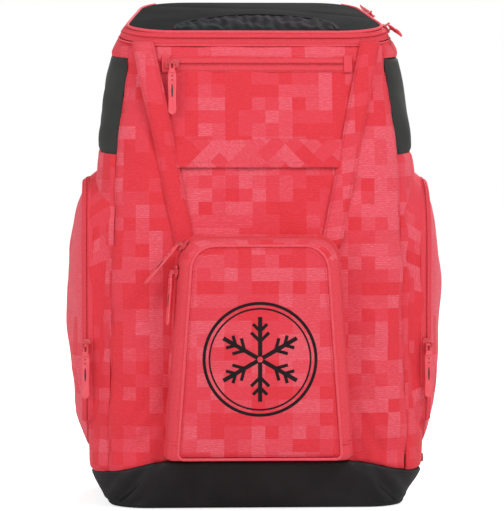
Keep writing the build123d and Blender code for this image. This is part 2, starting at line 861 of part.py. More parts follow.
# Padded shoulder strap: an S outline seen from the back, and a loose bow seen from the side.
chest_mid_y = -pocket_front_y - buckle_thick / 2
chest_y = chest_mid_y - sternum_web_thick / 2 - clip_thick / 2
out_y = chest_y - sternum_clear - harness_thick
harness_low_y = out_y - harness_low_in
shoulder_profile = side_prism(
    [
        (base_back_y, harness_top_z - harness_thick),
        (base_back_y, harness_top_z),
        (base_back_y + harness_thick * 1.5, harness_top_z),
        (out_y + harness_thick, harness_straight_high_z),
        (out_y + harness_thick, harness_straight_low_z),
        (harness_low_y + harness_thick, harness_low_z),
        (harness_low_y, harness_low_z),
        (out_y, harness_straight_low_z),
        (out_y, harness_straight_high_z),
        (base_back_y + harness_thick, harness_top_z - harness_thick),
    ],
    0,
    far,
)
harness_outline = front_prism(
    [
        (harness_centre_x - harness_wide / 2, harness_low_z),
        (harness_centre_x + harness_wide / 2, harness_low_z),
        (harness_centre_x + harness_wide / 2, harness_straight_high_z),
        (harness_top_x + harness_wide / 2, harness_top_z),
        (harness_top_x - harness_wide / 2, harness_top_z),
        (harness_centre_x - harness_wide / 2, harness_straight_high_z),
    ],
    0,
    far,
)
shoulder_strap = carve(shoulder_profile, keep=(harness_outline,))
save_pair(shoulder_strap, "shoulder_strap")

# Ladder lock under each shoulder strap, with the lower webbing through it
lock_y = harness_low_y + harness_thick / 2
lock_top_z = harness_low_z
with BuildPart() as ladder_lock:
    with Locations((harness_centre_x, lock_y, lock_top_z - lock_high / 2)):
        Box(lock_wide, lock_thick, lock_high)
        slot_high = (lock_high - 3 * lock_bar) / 2
        for shift in (-1, 1):
            with Locations((0, 0, shift * (slot_high + lock_bar) / 2)):
                Box(web_wide + 2, 2 * lock_thick, slot_high, mode=Mode.SUBTRACT)
save(joined(ladder_lock.part, mirrored(ladder_lock.part)), "ladder_locks")

web_top_z = lock_top_z - lock_high
web_outline = front_prism(
    [
        (web_foot_x - web_wide / 2, web_foot_z),
        (web_foot_x + web_wide / 2, web_foot_z),
        (harness_centre_x + web_wide / 2, web_top_z),
        (harness_centre_x - web_wide / 2, web_top_z),
    ],
    0,
    far,
)
web_profile = side_prism(
    [
        (base_back_y, web_foot_z),
        (base_back_y + web_thick, web_foot_z),
        (lock_y + web_thick / 2, web_top_z),
        (lock_y - web_thick / 2, web_top_z),
    ],
    0,
    far,
)
lower_web = carve(web_profile, keep=(web_outline,), cut=(lumbar_pad.part,))
save(joined(lower_web, mirrored(lower_web)), "lower_webbing")

# Haul handle: a loop on a cross pin between two lugs, hanging down behind the back panel
lug_y = base_back_y + handle_pin_r + 4.0
lug_wide = 6.0
lug_x = handle_half + handle_wide / 2 + lug_wide / 2 + 0.5
with BuildPart() as haul_lugs:
    for side in (-1, 1):
        with Locations((side * lug_x, (base_back_y + lug_y) / 2, handle_pin_z)):
            Box(lug_wide, lug_y - base_back_y + 4 * handle_pin_r, 4 * handle_pin_r)
    with Locations(Location((0, lug_y, handle_pin_z), (0, 90, 0))):
        Cylinder(handle_pin_r, 2 * lug_x)
save(carve(haul_lugs.part, cut=(outer,)), "haul_lugs")

loop_r = handle_pin_r + handle_clear + handle_thick / 2 + 0.5
with BuildPart() as haul_handle:
    with Locations(Location((0, lug_y, handle_pin_z), (0, 90, 0))):
        Cylinder(loop_r, 2 * handle_half + handle_wide)
    with Locations((0, lug_y, handle_pin_z - handle_drop / 2)):
        Box(2 * handle_half + handle_wide, handle_thick, handle_drop)
    with Locations((0, lug_y, handle_pin_z + loop_r)):
        Box(
            2 * handle_half - handle_wide,
            4 * loop_r,
            loop_r + handle_drop - handle_grip,
            align=(Align.CENTER, Align.CENTER, Align.MAX),
            mode=Mode.SUBTRACT,
        )
    with Locations(Location((0, lug_y, handle_pin_z), (0, 90, 0))):
        Cylinder(handle_pin_r + handle_clear, 4 * handle_half, mode=Mode.SUBTRACT)
save(haul_handle.part, "haul_handle")

# Chest strap: webbing, clips that ride on the shoulder straps, and a side-release buckle
web_low_y = chest_mid_y - sternum_web_thick / 2
chest_web_end = harness_centre_x - clip_wide / 2
with BuildPart() as chest_clip:
    with Locations((harness_centre_x, chest_y + clip_thick / 2, sternum_z)):
        Box(clip_wide, clip_thick, clip_high)
female_low_x = -buckle_wide / 2 - 6.0
female_high_x = female_low_x + buckle_wide
with BuildPart() as female:
    with Locations(((female_low_x + female_high_x) / 2, chest_mid_y, sternum_z)):
        Box(buckle_wide, buckle_thick, buckle_high)
    with Locations((female_high_x - prong_long / 2, chest_mid_y, sternum_z)):
        Box(
            prong_long + 1, buckle_thick - 2 * buckle_wall, buckle_high - 2 * buckle_wall, mode=Mode.SUBTRACT
        )
female_body = carve(female.part)
chest_left_web = block(
    -chest_web_end, female_low_x, web_low_y, web_low_y + sternum_web_thick,
    sternum_z - sternum_web_wide / 2, sternum_z + sternum_web_wide / 2,
)
male_low_x = female_high_x + male_clear
chest_right_web = block(
    male_low_x + male_clear, chest_web_end, web_low_y, web_low_y + sternum_web_thick,
    sternum_z - sternum_web_wide / 2, sternum_z + sternum_web_wide / 2,
)
save(joined(chest_left_web, chest_right_web), "chest_webbing")
save(joined(chest_clip.part, mirrored(chest_clip.part)), "chest_clips")
save(female_body, "chest_buckle_female")

with BuildPart() as male:
    with Locations((male_low_x + male_long / 2, chest_mid_y, sternum_z)):
        Box(male_long, buckle_thick, buckle_high)
    for side in (-1, 1):
        with Locations(
            (
                male_low_x - (prong_long - 2) / 2,
                chest_mid_y,
                sternum_z + side * (buckle_high / 2 - buckle_wall - male_clear - prong_high / 2),
            )
        ):
            Box(prong_long - 2, buckle_thick - 2 * buckle_wall - 2 * male_clear, prong_high)
    with Locations((male_low_x + male_long / 2, chest_mid_y, sternum_z)):
        Box(
            male_long,
            sternum_web_thick + 2 * male_clear,
            sternum_web_wide + 2 * male_clear,
            mode=Mode.SUBTRACT,
        )
save(male.part, "chest_buckle_male")

# ---------------------------------------------------------------- corner rivet
rivet_face = Plane(
    origin=(half - rivet_high, front_y + corner_radius, rivet_z),
    x_dir=(0, 1, 0),
    z_dir=(1, 0, 0),
)
with BuildPart(rivet_face) as rivet:
    Cylinder(rivet_r, 2 * rivet_high, align=(Align.CENTER, Align.CENTER, Align.MIN))
save(carve(rivet.part, cut=(outer,)), "corner_rivet")
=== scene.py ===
"""The looks of a ski boot backpack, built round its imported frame.

Lengths are in millimetres in the builders and become metres when a mesh is made.
+Z is up, -Y is the front, +X is the right as seen from the front.
"""

import json
import logging
import math
from dataclasses import dataclass, field
from enum import Enum
from typing import Callable, Iterable, Sequence

import bmesh
import bpy
import numpy as np
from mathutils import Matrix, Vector


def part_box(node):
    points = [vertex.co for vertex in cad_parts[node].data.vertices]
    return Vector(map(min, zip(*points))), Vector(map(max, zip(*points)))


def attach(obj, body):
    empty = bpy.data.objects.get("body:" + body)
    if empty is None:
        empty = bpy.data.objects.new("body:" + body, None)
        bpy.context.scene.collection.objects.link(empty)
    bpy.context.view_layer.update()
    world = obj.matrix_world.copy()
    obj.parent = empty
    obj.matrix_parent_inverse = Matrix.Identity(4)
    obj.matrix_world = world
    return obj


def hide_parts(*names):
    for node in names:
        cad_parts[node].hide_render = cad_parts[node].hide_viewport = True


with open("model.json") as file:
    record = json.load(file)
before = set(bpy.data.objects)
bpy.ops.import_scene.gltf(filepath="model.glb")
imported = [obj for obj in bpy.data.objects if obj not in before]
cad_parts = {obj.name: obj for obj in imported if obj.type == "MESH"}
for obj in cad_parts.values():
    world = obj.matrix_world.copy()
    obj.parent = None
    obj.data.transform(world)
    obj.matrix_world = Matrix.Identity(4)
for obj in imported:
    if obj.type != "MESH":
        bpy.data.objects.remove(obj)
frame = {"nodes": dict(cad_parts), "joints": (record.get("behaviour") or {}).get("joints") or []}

MM = 0.001
Colour = tuple[float, float, float]
Array = np.ndarray
log = logging.getLogger("boot_bag")


class Side(Enum):
    """The two sides of the bag, as seen from the front."""

    LEFT = -1
    RIGHT = 1

    @property
    def word(self) -> str:
        """The side's name as the pieces' names have it."""
        return self.name.lower()


class Held(Enum):
    """How a sheet of cloth is held in the bag."""

    STRETCHED = "stretched"
    GATHERED = "gathered"


# ------------------------------------------------------------------ numbers and forms
def ease(t: Array | float) -> Array:
    """Goes smoothly from 0 to 1 as t does, and stays there.

    Args:
        t: where on the way, any number or array.

    Returns:
        The eased value.
    """
    t = np.clip(t, 0.0, 1.0)
    return t * t * (3.0 - 2.0 * t)


def soft_line(
    x: Array | float, knots: Sequence[float], values: Sequence[float], blur: float = 12.0
) -> Array:
    """Straight runs between knots, with each bend rounded off.

    Args:
        x: where to read the line.
        knots: the places of the bends.
        values: the line's value at each knot.
        blur: how far each side of a bend it is rounded.

    Returns:
        The value at x.
    """
    x = np.asarray(x, float)
    slopes = np.diff(values) / np.diff(knots)
    result = values[0] + slopes[0] * (x - knots[0])
    for knot, change in zip(knots[1:-1], np.diff(slopes)):
        t = x - knot
        rounded_off = (t + blur) ** 2 / (4 * blur)
        result = result + change * np.where(t < -blur, 0.0, np.where(t > blur, t, rounded_off))
    return result


def unit(v: Array) -> Array:
    """Vectors along the last axis, brought to length one."""
    return v / np.maximum(np.linalg.norm(v, axis=-1, keepdims=True), 1e-9)


def spread(length: float, cell: float, edge: Sequence[float] = (0.9, 2.0, 3.6, 6.0)) -> Array:
    """Places from 0 to 1 along a length, closer together near both ends.

    Args:
        length: the length in millimetres.
        cell: the step in the middle.
        edge: distances of the extra lines from each end.

    Returns:
        The places, ascending.
    """
    near = np.array([e for e in edge if e < length / 3])
    inner = near[-1] if len(near) else 0.0
    steps = max(2, int(round((length - 2 * inner) / cell)))
    middle = np.linspace(inner, length - inner, steps + 1)
    return np.unique(np.concatenate([[0.0], near, middle, length - near, [length]]).round(4)) / length


@dataclass(frozen=True)
class Rumple:
    """Smooth seeded unevenness in space, about -1 to 1."""

    seed: int
    size: float
    waves: int = 10

    def at(self, points: Array) -> Array:
        """The unevenness at each point."""
        rng = np.random.default_rng(self.seed)
        total = np.zeros(points.shape[:-1])
        for _ in range(self.waves):
            direction = rng.normal(size=3)
            direction /= np.linalg.norm(direction)
            pitch = self.size * rng.uniform(0.7, 1.6)
            total += np.sin(points @ direction * (2 * math.pi / pitch) + rng.uniform(0, 2 * math.pi))
        return total / math.sqrt(self.waves)


@dataclass(frozen=True)
class BagForm:
    """The shell's outer form: sections with round corners, one above the other."""

    zs: tuple[float, ...] = (0.0, 40.0, 120.0, 300.0, 400.0, 500.0, 565.0)
    halves: tuple[float, ...] = (159.0, 182.5, 178.4, 177.0, 171.0, 157.0, 114.0)
    fronts: tuple[float, ...] = (-132.0, -148.0, -146.5, -143.0, -130.0, -108.0, -96.0)
    backs: tuple[float, ...] = (116.0, 125.0, 125.0, 125.0, 125.0, 125.0, 125.0)
    corners: tuple[float, ...] = (44.0, 58.0, 58.0, 58.0, 58.0, 58.0, 58.0)
    lid_z: float = 508.0
    lid_y: float = -106.0
    lid_slope: float = 0.19
    back_seam: float = 3.385
    zip_end: float = 3.43

    def section(self, z: Array) -> tuple[Array, Array, Array, Array]:
        """Half width, front, back and corner radius at a height."""
        lines = (self.halves, self.fronts, self.backs, self.corners)
        half, front, back, corner = (soft_line(z, self.zs, values) for values in lines)
        return half, front, back, corner

    def raw(self, s: Array, z: Array) -> Array:
        """Points of the form. s runs 0-1 front, 1-2 corner, 2-3 side, 3-4 corner, 4-5 back."""
        s = np.where(s > 5.0, s - 10.0, s)
        a, sign = np.abs(s), np.where(s < 0, -1.0, 1.0)
        half, front, back, r = self.section(z)
        flat = half - r
        turn = np.clip(a - 1, 0, 1) * math.pi / 2
        turn_back = np.clip(a - 3, 0, 1) * math.pi / 2
        side_y = front + r + np.clip(a - 2, 0, 1) * (back - front - 2 * r)
        stages = [a <= 1, a <= 2, a <= 3, a <= 4, a > 4]
        x = np.select(stages, [
            a * flat, flat + r * np.sin(turn), half, flat + r * np.cos(turn_back), (5 - a) * flat])
        y = np.select(stages, [
            front, front + r - r * np.cos(turn), side_y, back - r + r * np.sin(turn_back), back])
        return np.stack([sign * x, y, np.broadcast_to(z, x.shape)], axis=-1)

    def at(self, s: Array, z: Array, lift: Array | float = 0.0) -> tuple[Array, Array]:
        """Points and outward normals.

        Args:
            s: place round the section.
            z: height.
            lift: distance outside the form.

        Returns:
            The points and the normals, one row of three each.
        """
        s, z = np.broadcast_arrays(np.asarray(s, float), np.asarray(z, float))
        across = self.raw(s + 0.002, z) - self.raw(s - 0.002, z)
        up = self.raw(s, z + 0.2) - self.raw(s, z - 0.2)
        normals = unit(np.cross(across, up))
        lift = np.asarray(lift, float)
        return self.raw(s, z) + normals * (lift[..., None] if lift.ndim else lift), normals

    def front_at(self, x: Array, z: Array, lift: Array | float = 0.0) -> tuple[Array, Array]:
        """Points and outward normals of the front half where the form has this x."""
        return self.at(self.s_of_x(x, z), z, lift)

    def arc(self, s: Array, z: Array) -> Array:
        """Length along the section from the middle of the front."""
        wrapped = np.where(s > 5.0, 10.0 - s, np.abs(s))
        half, front, back, r = self.section(z)
        flat, side, turn = half - r, back - front - 2 * r, r * math.pi / 2
        parts = (flat, turn, side, turn, flat)
        length = sum(np.clip(wrapped - i, 0, 1) * part for i, part in enumerate(parts))
        whole = 2 * flat + 2 * turn + side
        return np.where(s > 5.0, 2 * whole - length, np.sign(s) * length)

    def s_of_x(self, x: Array, z: Array) -> Array:
        """Place round the front half of the section where the form has this x."""
        half, _, _, r = self.section(z)
        flat = half - r
        over = np.clip((np.abs(x) - flat) / r, 0, 1)
        a = np.where(np.abs(x) <= flat, np.abs(x) / flat, 1 + np.arcsin(over) * 2 / math.pi)
        return np.sign(x) * a

    def lid_line(self, s: Array, rise: float = 0.0) -> Array:
        """Height of the line where the lid parts from the shell, plus a rise."""
        z = np.full(np.shape(s), self.lid_z)
        for _ in range(6):
            y = self.raw(np.asarray(s, float), z)[..., 1]
            z = self.lid_z + self.lid_slope * (y - self.lid_y) + rise
        return z

    def lid_plane(self, y: Array) -> Array:
        """Height of the plane that the lid parts on."""
        return self.lid_z + self.lid_slope * (y - self.lid_y)


FORM = BagForm()


@dataclass(frozen=True)
class Seams:
    """Where the shell's panels are sewn together."""

    base_middle: float = 53.0
    base_side: float = 39.0
    base_flat: float = 95.0
    base_wide: float = 179.0
    base_near: float = 46.0
    base_back_y: float = 60.0
    wing_low: float = 380.0
    wing_high: float = 483.0
    wing_rise: float = 0.09
    wing_y: float = -148.0

    def base(self, s: Array) -> Array:
        """Height of the base's top edge."""
        spots = FORM.raw(np.asarray(s, float), np.full(np.shape(s), self.base_near))
        share = (np.abs(spots[..., 0]) - self.base_flat) / (self.base_wide - self.base_flat)
        height = self.base_middle + (self.base_side - self.base_middle) * ease(share)
        return np.where(spots[..., 1] < self.base_back_y, height, self.base_side)

    def slant(self, z: Array) -> Array:
        """Place of the slanting seam beside the front, at a height."""
        x = soft_line(z, (40.0, 53.0, 287.0, 510.0), (95.5, 95.0, 79.0, 118.0), 6.0)
        return FORM.s_of_x(x, z)

    def side(self, z: Array) -> Array:
        """Place of the front to side seam at a height."""
        x = soft_line(z, (0.0, 380.0, 483.0, 540.0), (164.0, 154.0, 141.0, 131.0), 10.0)
        return FORM.s_of_x(x, z)

    def wing(self, s: Array, high: bool) -> Array:
        """Height of the side wing's low or high edge."""
        level = self.wing_high if high else self.wing_low
        y = FORM.raw(np.asarray(s, float), np.full(np.shape(s), level))[..., 1]
        return level + self.wing_rise * (y - self.wing_y)


SEAMS = Seams()


def rounded(
    corners: Sequence[tuple[float, float]], radii: Sequence[float], straight: int = 14, arc: int = 9
) -> Array:
    """A closed outline with round corners, anticlockwise, from the middle of its last side.

    Args:
        corners: the sharp corners.
        radii: the radius at each.
        straight: points on each straight side.
        arc: points on each corner.

    Returns:
        The outline's points, one row of two each.
    """
    sharp = np.asarray(corners, float)
    spots: list[Array] = []
    ends: list[Array] = []
    starts: list[Array] = []
    bends: list[Array] = []
    for i, r in enumerate(radii):
        here, before, after = sharp[i], sharp[i - 1], sharp[(i + 1) % len(sharp)]
        u, v = unit(before - here), unit(after - here)
        half = math.acos(float(np.clip(u @ v, -1, 1))) / 2
        centre = here + unit(u + v) * r / math.sin(half)
        start, end = here + u * r / math.tan(half), here + v * r / math.tan(half)
        first = math.atan2(*(start - centre)[::-1])
        sweep_angle = (math.atan2(*(end - centre)[::-1]) - first) % (2 * math.pi)
        angles = first + sweep_angle * np.arange(arc) / arc
        starts.append(start)
        ends.append(end)
        bends.append(centre + r * np.stack([np.cos(angles), np.sin(angles)], axis=-1))
    for i in range(len(sharp)):
        share = (np.arange(straight) / straight)[:, None]
        spots.append(ends[i - 1] * (1 - share) + starts[i] * share)
        spots.append(bends[i])
    return np.roll(np.concatenate(spots), -(straight // 2), axis=0)


def along(path: Array) -> Array:
    """Length run along a path at each of its points."""
    steps = np.linalg.norm(np.diff(path, axis=0), axis=-1)
    return np.concatenate([[0.0], np.cumsum(steps)])


def alike(direction: Sequence[float], count: int) -> Array:
    """The same direction, once for each of a number of points."""
    return np.tile(direction, (count, 1))


def level(z: float) -> Callable[[Array], Array]:
    """A seam line of one height all round the form, or of one place at every height."""
    return lambda s: np.full(np.shape(s), z)


def tangents(path: Array, closed: bool = False) -> Array:
    """Directions of travel at each point of a path."""
    if closed:
        return unit(np.roll(path, -1, axis=0) - np.roll(path, 1, axis=0))
    return unit(np.gradient(path, axis=0))


def enclosed(outline: Array) -> float:
    """The area inside an outline, above zero where it runs anticlockwise."""
    x, y = outline[:, 0], outline[:, 1]
    return 0.5 * float(np.sum(x * np.roll(y, -1) - np.roll(x, -1) * y))


def evenly(path: Array, outs: Array, step: float) -> tuple[Array, Array]:
    """A path and its outward directions, sampled again at even steps."""
    run = along(path)
    places = np.linspace(0, run[-1], max(2, int(round(run[-1] / step)) + 1))
    columns = [np.interp(places, run, path[:, i]) for i in range(3)]
    faces = [np.interp(places, run, outs[:, i]) for i in range(3)]
    return np.stack(columns, axis=-1), unit(np.stack(faces, axis=-1))


# ------------------------------------------------------------------ meshes
def mesh_object(
    name: str, points: Array, faces: Iterable[Sequence[int]], flat: Array | None = None
) -> bpy.types.Object:
    """Makes an object from points in millimetres.

    Args:
        name: the piece's name.
        points: one row of three for each vertex.
        faces: vertex numbers of each face.
        flat: places on the cloth in millimetres, one row of two for each corner of each face.

    Returns:
        The new object, at the origin.
    """
    mesh = bpy.data.meshes.new(name)
    spots = (np.asarray(points, float).reshape(-1, 3) * MM).tolist()
    mesh.from_pydata(spots, [], [list(map(int, f)) for f in faces])
    if flat is not None:
        layer = mesh.uv_layers.new(name="cloth")
        layer.data.foreach_set("uv", (np.asarray(flat, float) * MM).ravel())
    mesh.shade_smooth()
    obj = bpy.data.objects.new(name, mesh)
    bpy.context.scene.collection.objects.link(obj)
    return obj


@dataclass
class Patch:
    """A grid of points on a surface, with their outward directions and places on the flat cloth.

    A loop closes on itself from its last column to its first. The pole is the row, first or last,
    whose small ring is closed with one face.
    """

    points: Array
    normals: Array
    flat: Array
    loop: bool = False
    pole: int | None = None

    def edge_distance(self, edge: str) -> Array:
        """How far each point is from one edge, along the surface."""
        axis = 1 if edge in ("left", "right") else 0
        steps = np.linalg.norm(np.diff(self.points, axis=axis), axis=-1)
        start = np.zeros_like(np.take(steps, [0], axis=axis))
        run = np.concatenate([start, np.cumsum(steps, axis=axis)], axis=axis)
        return run if edge in ("left", "low") else np.take(run, [-1], axis=axis) - run

    def move(self, amount: Array) -> "Patch":
        """Moves each point outwards by its amount."""
        self.points = self.points + self.normals * amount[..., None]
        return self

    def sew(
        self, edges: str = "left right low high", depth: float = 1.7, reach: float = 2.6, puff: float = 1.6
    ) -> "Patch":
        """Pulls the named edges in and lets the cloth between them swell."""
        shift = np.zeros(self.points.shape[:2])
        swell = np.ones(self.points.shape[:2])
        for edge in edges.split():
            d = self.edge_distance(edge)
            shift -= depth * np.exp(-((d / reach) ** 2))
            swell *= 1 - np.exp(-d / 26.0)
        return self.move(np.maximum(shift, -1.4 * depth) + puff * swell)

    def rumple(self, seed: int, size: float, amount: float | Array) -> "Patch":
        """Makes the cloth uneven."""
        return self.move(Rumple(seed, size).at(self.points) * amount)

    def pucker(self, edge: str, pitch: float, amount: float, reach: float = 9.0) -> "Patch":
        """Small gathers along a sewn edge."""
        d = self.edge_distance(edge)
        run = self.flat[..., 1] if edge in ("left", "right") else self.flat[..., 0]
        wave = np.sin(run * (2 * math.pi / pitch) + 1.7 * np.sin(run / (pitch * 2.3)))
        return self.move(wave * amount * np.exp(-d / reach) * (1 - np.exp(-d / 2.0)))

    def crease(self, start: Array, end: Array, depth: float, wide: float) -> "Patch":
        """A soft fold along a line between two points in space."""
        a, b = np.asarray(start, float), np.asarray(end, float)
        run = b - a
        t = np.clip(((self.points - a) @ run) / (run @ run), 0, 1)
        d = np.linalg.norm(self.points - (a + t[..., None] * run), axis=-1)
        fade = np.sin(math.pi * np.clip(t, 0.02, 0.98)) ** 0.5
        return self.move(-depth * fade * np.exp(-((d / wide) ** 2)))

    def build(self, name: str) -> bpy.types.Object:
        """Makes the object of this patch."""
        rows, columns = self.points.shape[:2]
        wide = columns if self.loop else columns - 1
        r, c = np.meshgrid(np.arange(rows - 1), np.arange(wide), indexing="ij")
        after = (c + 1) % columns
        corners = [r * columns + c, r * columns + after, (r + 1) * columns + after, (r + 1) * columns + c]
        faces = np.stack(corners, axis=-1).reshape(-1, 4).tolist()
        places = [(r, c), (r, c + 1), (r + 1, c + 1), (r + 1, c)]
        flat = np.stack([self.flat[place] for place in places], axis=-2).reshape(-1, 2)
        if self.pole is not None:
            ring = [self.pole * columns + i for i in range(columns)]
            faces.append(ring if self.pole else ring[::-1])
            flat = np.vstack([flat, np.zeros((columns, 2))])
        return mesh_object(name, self.points, faces, flat)

    def cut_size(self) -> tuple[float, float, float]:
        """Width, length and area of the cloth that was cut for this patch, in metres."""
        width, length = (float(np.ptp(self.flat[..., i])) * MM for i in (0, 1))
        a, b = self.points[:-1, :-1], self.points[1:, 1:]
        c, d = self.points[:-1, 1:], self.points[1:, :-1]
        area = float(np.linalg.norm(np.cross(b - a, d - c), axis=-1).sum() / 2) * MM * MM
        return width, length, min(max(area, 0.31 * width * length), width * length)


def shell_patch(
    left: Callable[[Array], Array],
    right: Callable[[Array], Array],
    low: Callable[[Array], Array],
    high: Callable[[Array], Array],
    cell: float = 4.0,
    lift: float = 0.0,
) -> Patch:
    """A panel on the bag's form between four seams.

    Args:
        left: place round the form of the left seam, by height.
        right: the same for the right seam.
        low: height of the low seam, by place.
        high: height of the high seam, by place.
        cell: the grid's step.
        lift: distance outside the form.

    Returns:
        The panel as a patch.
    """
    middle = np.array([0.5 * (float(left(np.array(300.0))) + float(right(np.array(300.0))))])
    z_low, z_high = float(low(middle)[0]), float(high(middle)[0])
    z_mid = np.array([0.5 * (z_low + z_high)])
    wide = abs(float((FORM.arc(right(z_mid), z_mid) - FORM.arc(left(z_mid), z_mid))[0]))
    u = spread(wide, cell)[None, :]
    v = spread(z_high - z_low, cell)[:, None]
    z = z_low + (z_high - z_low) * v + 0 * u
    for _ in range(5):
        s = left(z) + (right(z) - left(z)) * u
        z = low(s) + (high(s) - low(s)) * v
    points, normals = FORM.at(s, z, lift)
    return Patch(points, normals, np.stack([FORM.arc(s, z), z], axis=-1))


def closed_band(rings: Sequence[Array]) -> Patch:
    """A band that closes on itself, through rings of equally many points, from its root outwards."""
    points = np.stack(rings)
    forward = unit(np.roll(points, -1, axis=1) - np.roll(points, 1, axis=1))
    normals = unit(np.cross(forward, np.gradient(points, axis=0)))
    run = along(points[0])
    across = np.append(run, run[-1] + float(np.linalg.norm(points[0, 0] - points[0, -1])))
    flat = np.stack(np.broadcast_arrays(across[None], along(points[:, 0])[:, None]), axis=-1)
    return Patch(points, normals, flat, loop=True)


def tube(
    name: str,
    path: Array,
    outs: Array,
    profile: Sequence[tuple[float, float]],
    closed: bool = False,
    scale: Array | None = None,
) -> bpy.types.Object:
    """Sweeps a closed profile along a path.

    Args:
        name: the piece's name.
        path: the path's points.
        outs: the outward direction at each point.
        profile: (across, outwards) points, so that across grows to the path's left as seen from outside.
        closed: whether the path closes on itself.
        scale: a size factor for the profile at each point of the path.

    Returns:
        The swept object, with its ends closed.
    """
    shape = np.asarray(profile, float)
    forward = tangents(path, closed)
    across = unit(np.cross(outs, forward))
    grow = np.ones(len(path)) if scale is None else scale
    grid = (
        path[None]
        + shape[:, 0, None, None] * across[None] * grow[None, :, None]
        + shape[:, 1, None, None] * outs[None] * grow[None, :, None]
    )
    rows, columns = grid.shape[:2]
    area = enclosed(shape)
    run = along(path)
    girth = along(np.vstack([shape, shape[:1]]))
    if closed:
        run = np.append(run, run[-1] + float(np.linalg.norm(path[0] - path[-1])))
    faces: list[list[int]] = []
    flat: list[tuple[float, float]] = []
    for r in range(rows):
        above = (r + 1) % rows
        for c in range(columns if closed else columns - 1):
            after = (c + 1) % columns
            corners = [(r, c, r), (r, after, r), (above, after, r + 1), (above, c, r + 1)]
            near, far, here, above_here = run[c], run[c + 1], girth[r], girth[r + 1]
            places = [(near, here), (far, here), (far, above_here), (near, above_here)]
            if area > 0:
                corners, places = corners[::-1], places[::-1]
            faces.append([a * columns + b for a, b, _ in corners])
            flat.extend(places)
    if not closed:
        for column, place in ((0, run[0]), (columns - 1, run[-1])):
            ring = [r * columns + column for r in range(rows)]
            if (column == 0) == (area > 0):
                ring.reverse()
            faces.append(ring)
            flat.extend((place, 0.0) for _ in ring)
    return mesh_object(name, grid.reshape(-1, 3), faces, np.array(flat))


def circle_profile(radius: float, out: float = 0.0, sides: int = 10) -> list[tuple[float, float]]:
    """A round profile for a swept piece, its middle this far outside the path."""
    angles = [2 * math.pi * i / sides for i in range(sides)]
    return [(radius * math.cos(a), out + radius * math.sin(a)) for a in angles]


def slab_profile(
    wide: float, thick: float, edge: float, steps: int = 4, low: float = 0.0
) -> list[tuple[float, float]]:
    """A flat profile with round edges, standing on its low line."""
    half, spots = wide / 2, []
    for sign_x, sign_y, first in ((1, 1, 0), (-1, 1, 90), (-1, -1, 180), (1, -1, 270)):
        for i in range(steps + 1):
            angle = math.radians(first + 90 * i / steps)
            across = sign_x * (half - edge) + edge * math.cos(angle)
            spots.append((across, low + thick / 2 + sign_y * (thick / 2 - edge) + edge * math.sin(angle)))
    inner = np.linspace(-half + edge, half - edge, 7)[1:-1]
    top = [(float(x), low + thick) for x in inner[::-1]]
    bottom = [(float(x), low) for x in inner]
    quarter = steps + 1
    return spots[:quarter] + top + spots[quarter: 3 * quarter] + bottom + spots[3 * quarter:]


def settled(obj: bpy.types.Object) -> bpy.types.Object:
    """Applies an object's modifiers to its mesh."""
    depsgraph = bpy.context.evaluated_depsgraph_get()
    depsgraph.update()
    mesh = bpy.data.meshes.new_from_object(obj.evaluated_get(depsgraph))
    old = obj.data
    obj.modifiers.clear()
    obj.data = mesh
    bpy.data.meshes.remove(old)
    return obj


def backed(obj: bpy.types.Object, thick: float) -> bpy.types.Object:
    """Gives a sheet its thickness inwards, with lining on the inner face."""
    modifier = obj.modifiers.new("backing", "SOLIDIFY")
    modifier.thickness = thick * MM
    modifier.offset = -1.0
    modifier.use_even_offset = False
    modifier.material_offset = 1
    return settled(obj)


def face_outwards(obj: bpy.types.Object) -> None:
    """Makes a closed piece's faces point outwards."""
    work = bmesh.new()
    work.from_mesh(obj.data)
    bmesh.ops.recalc_face_normals(work, faces=work.faces)
    work.to_mesh(obj.data)
    work.free()


def joined(name: str, pieces: Sequence[bpy.types.Object]) -> bpy.types.Object:
    """Joins objects into one named piece."""
    first = pieces[0]
    if len(pieces) > 1:
        with bpy.context.temp_override(active_object=first, selected_editable_objects=list(pieces)):
            bpy.ops.object.join()
    first.name = name
    first.data.name = name
    return first


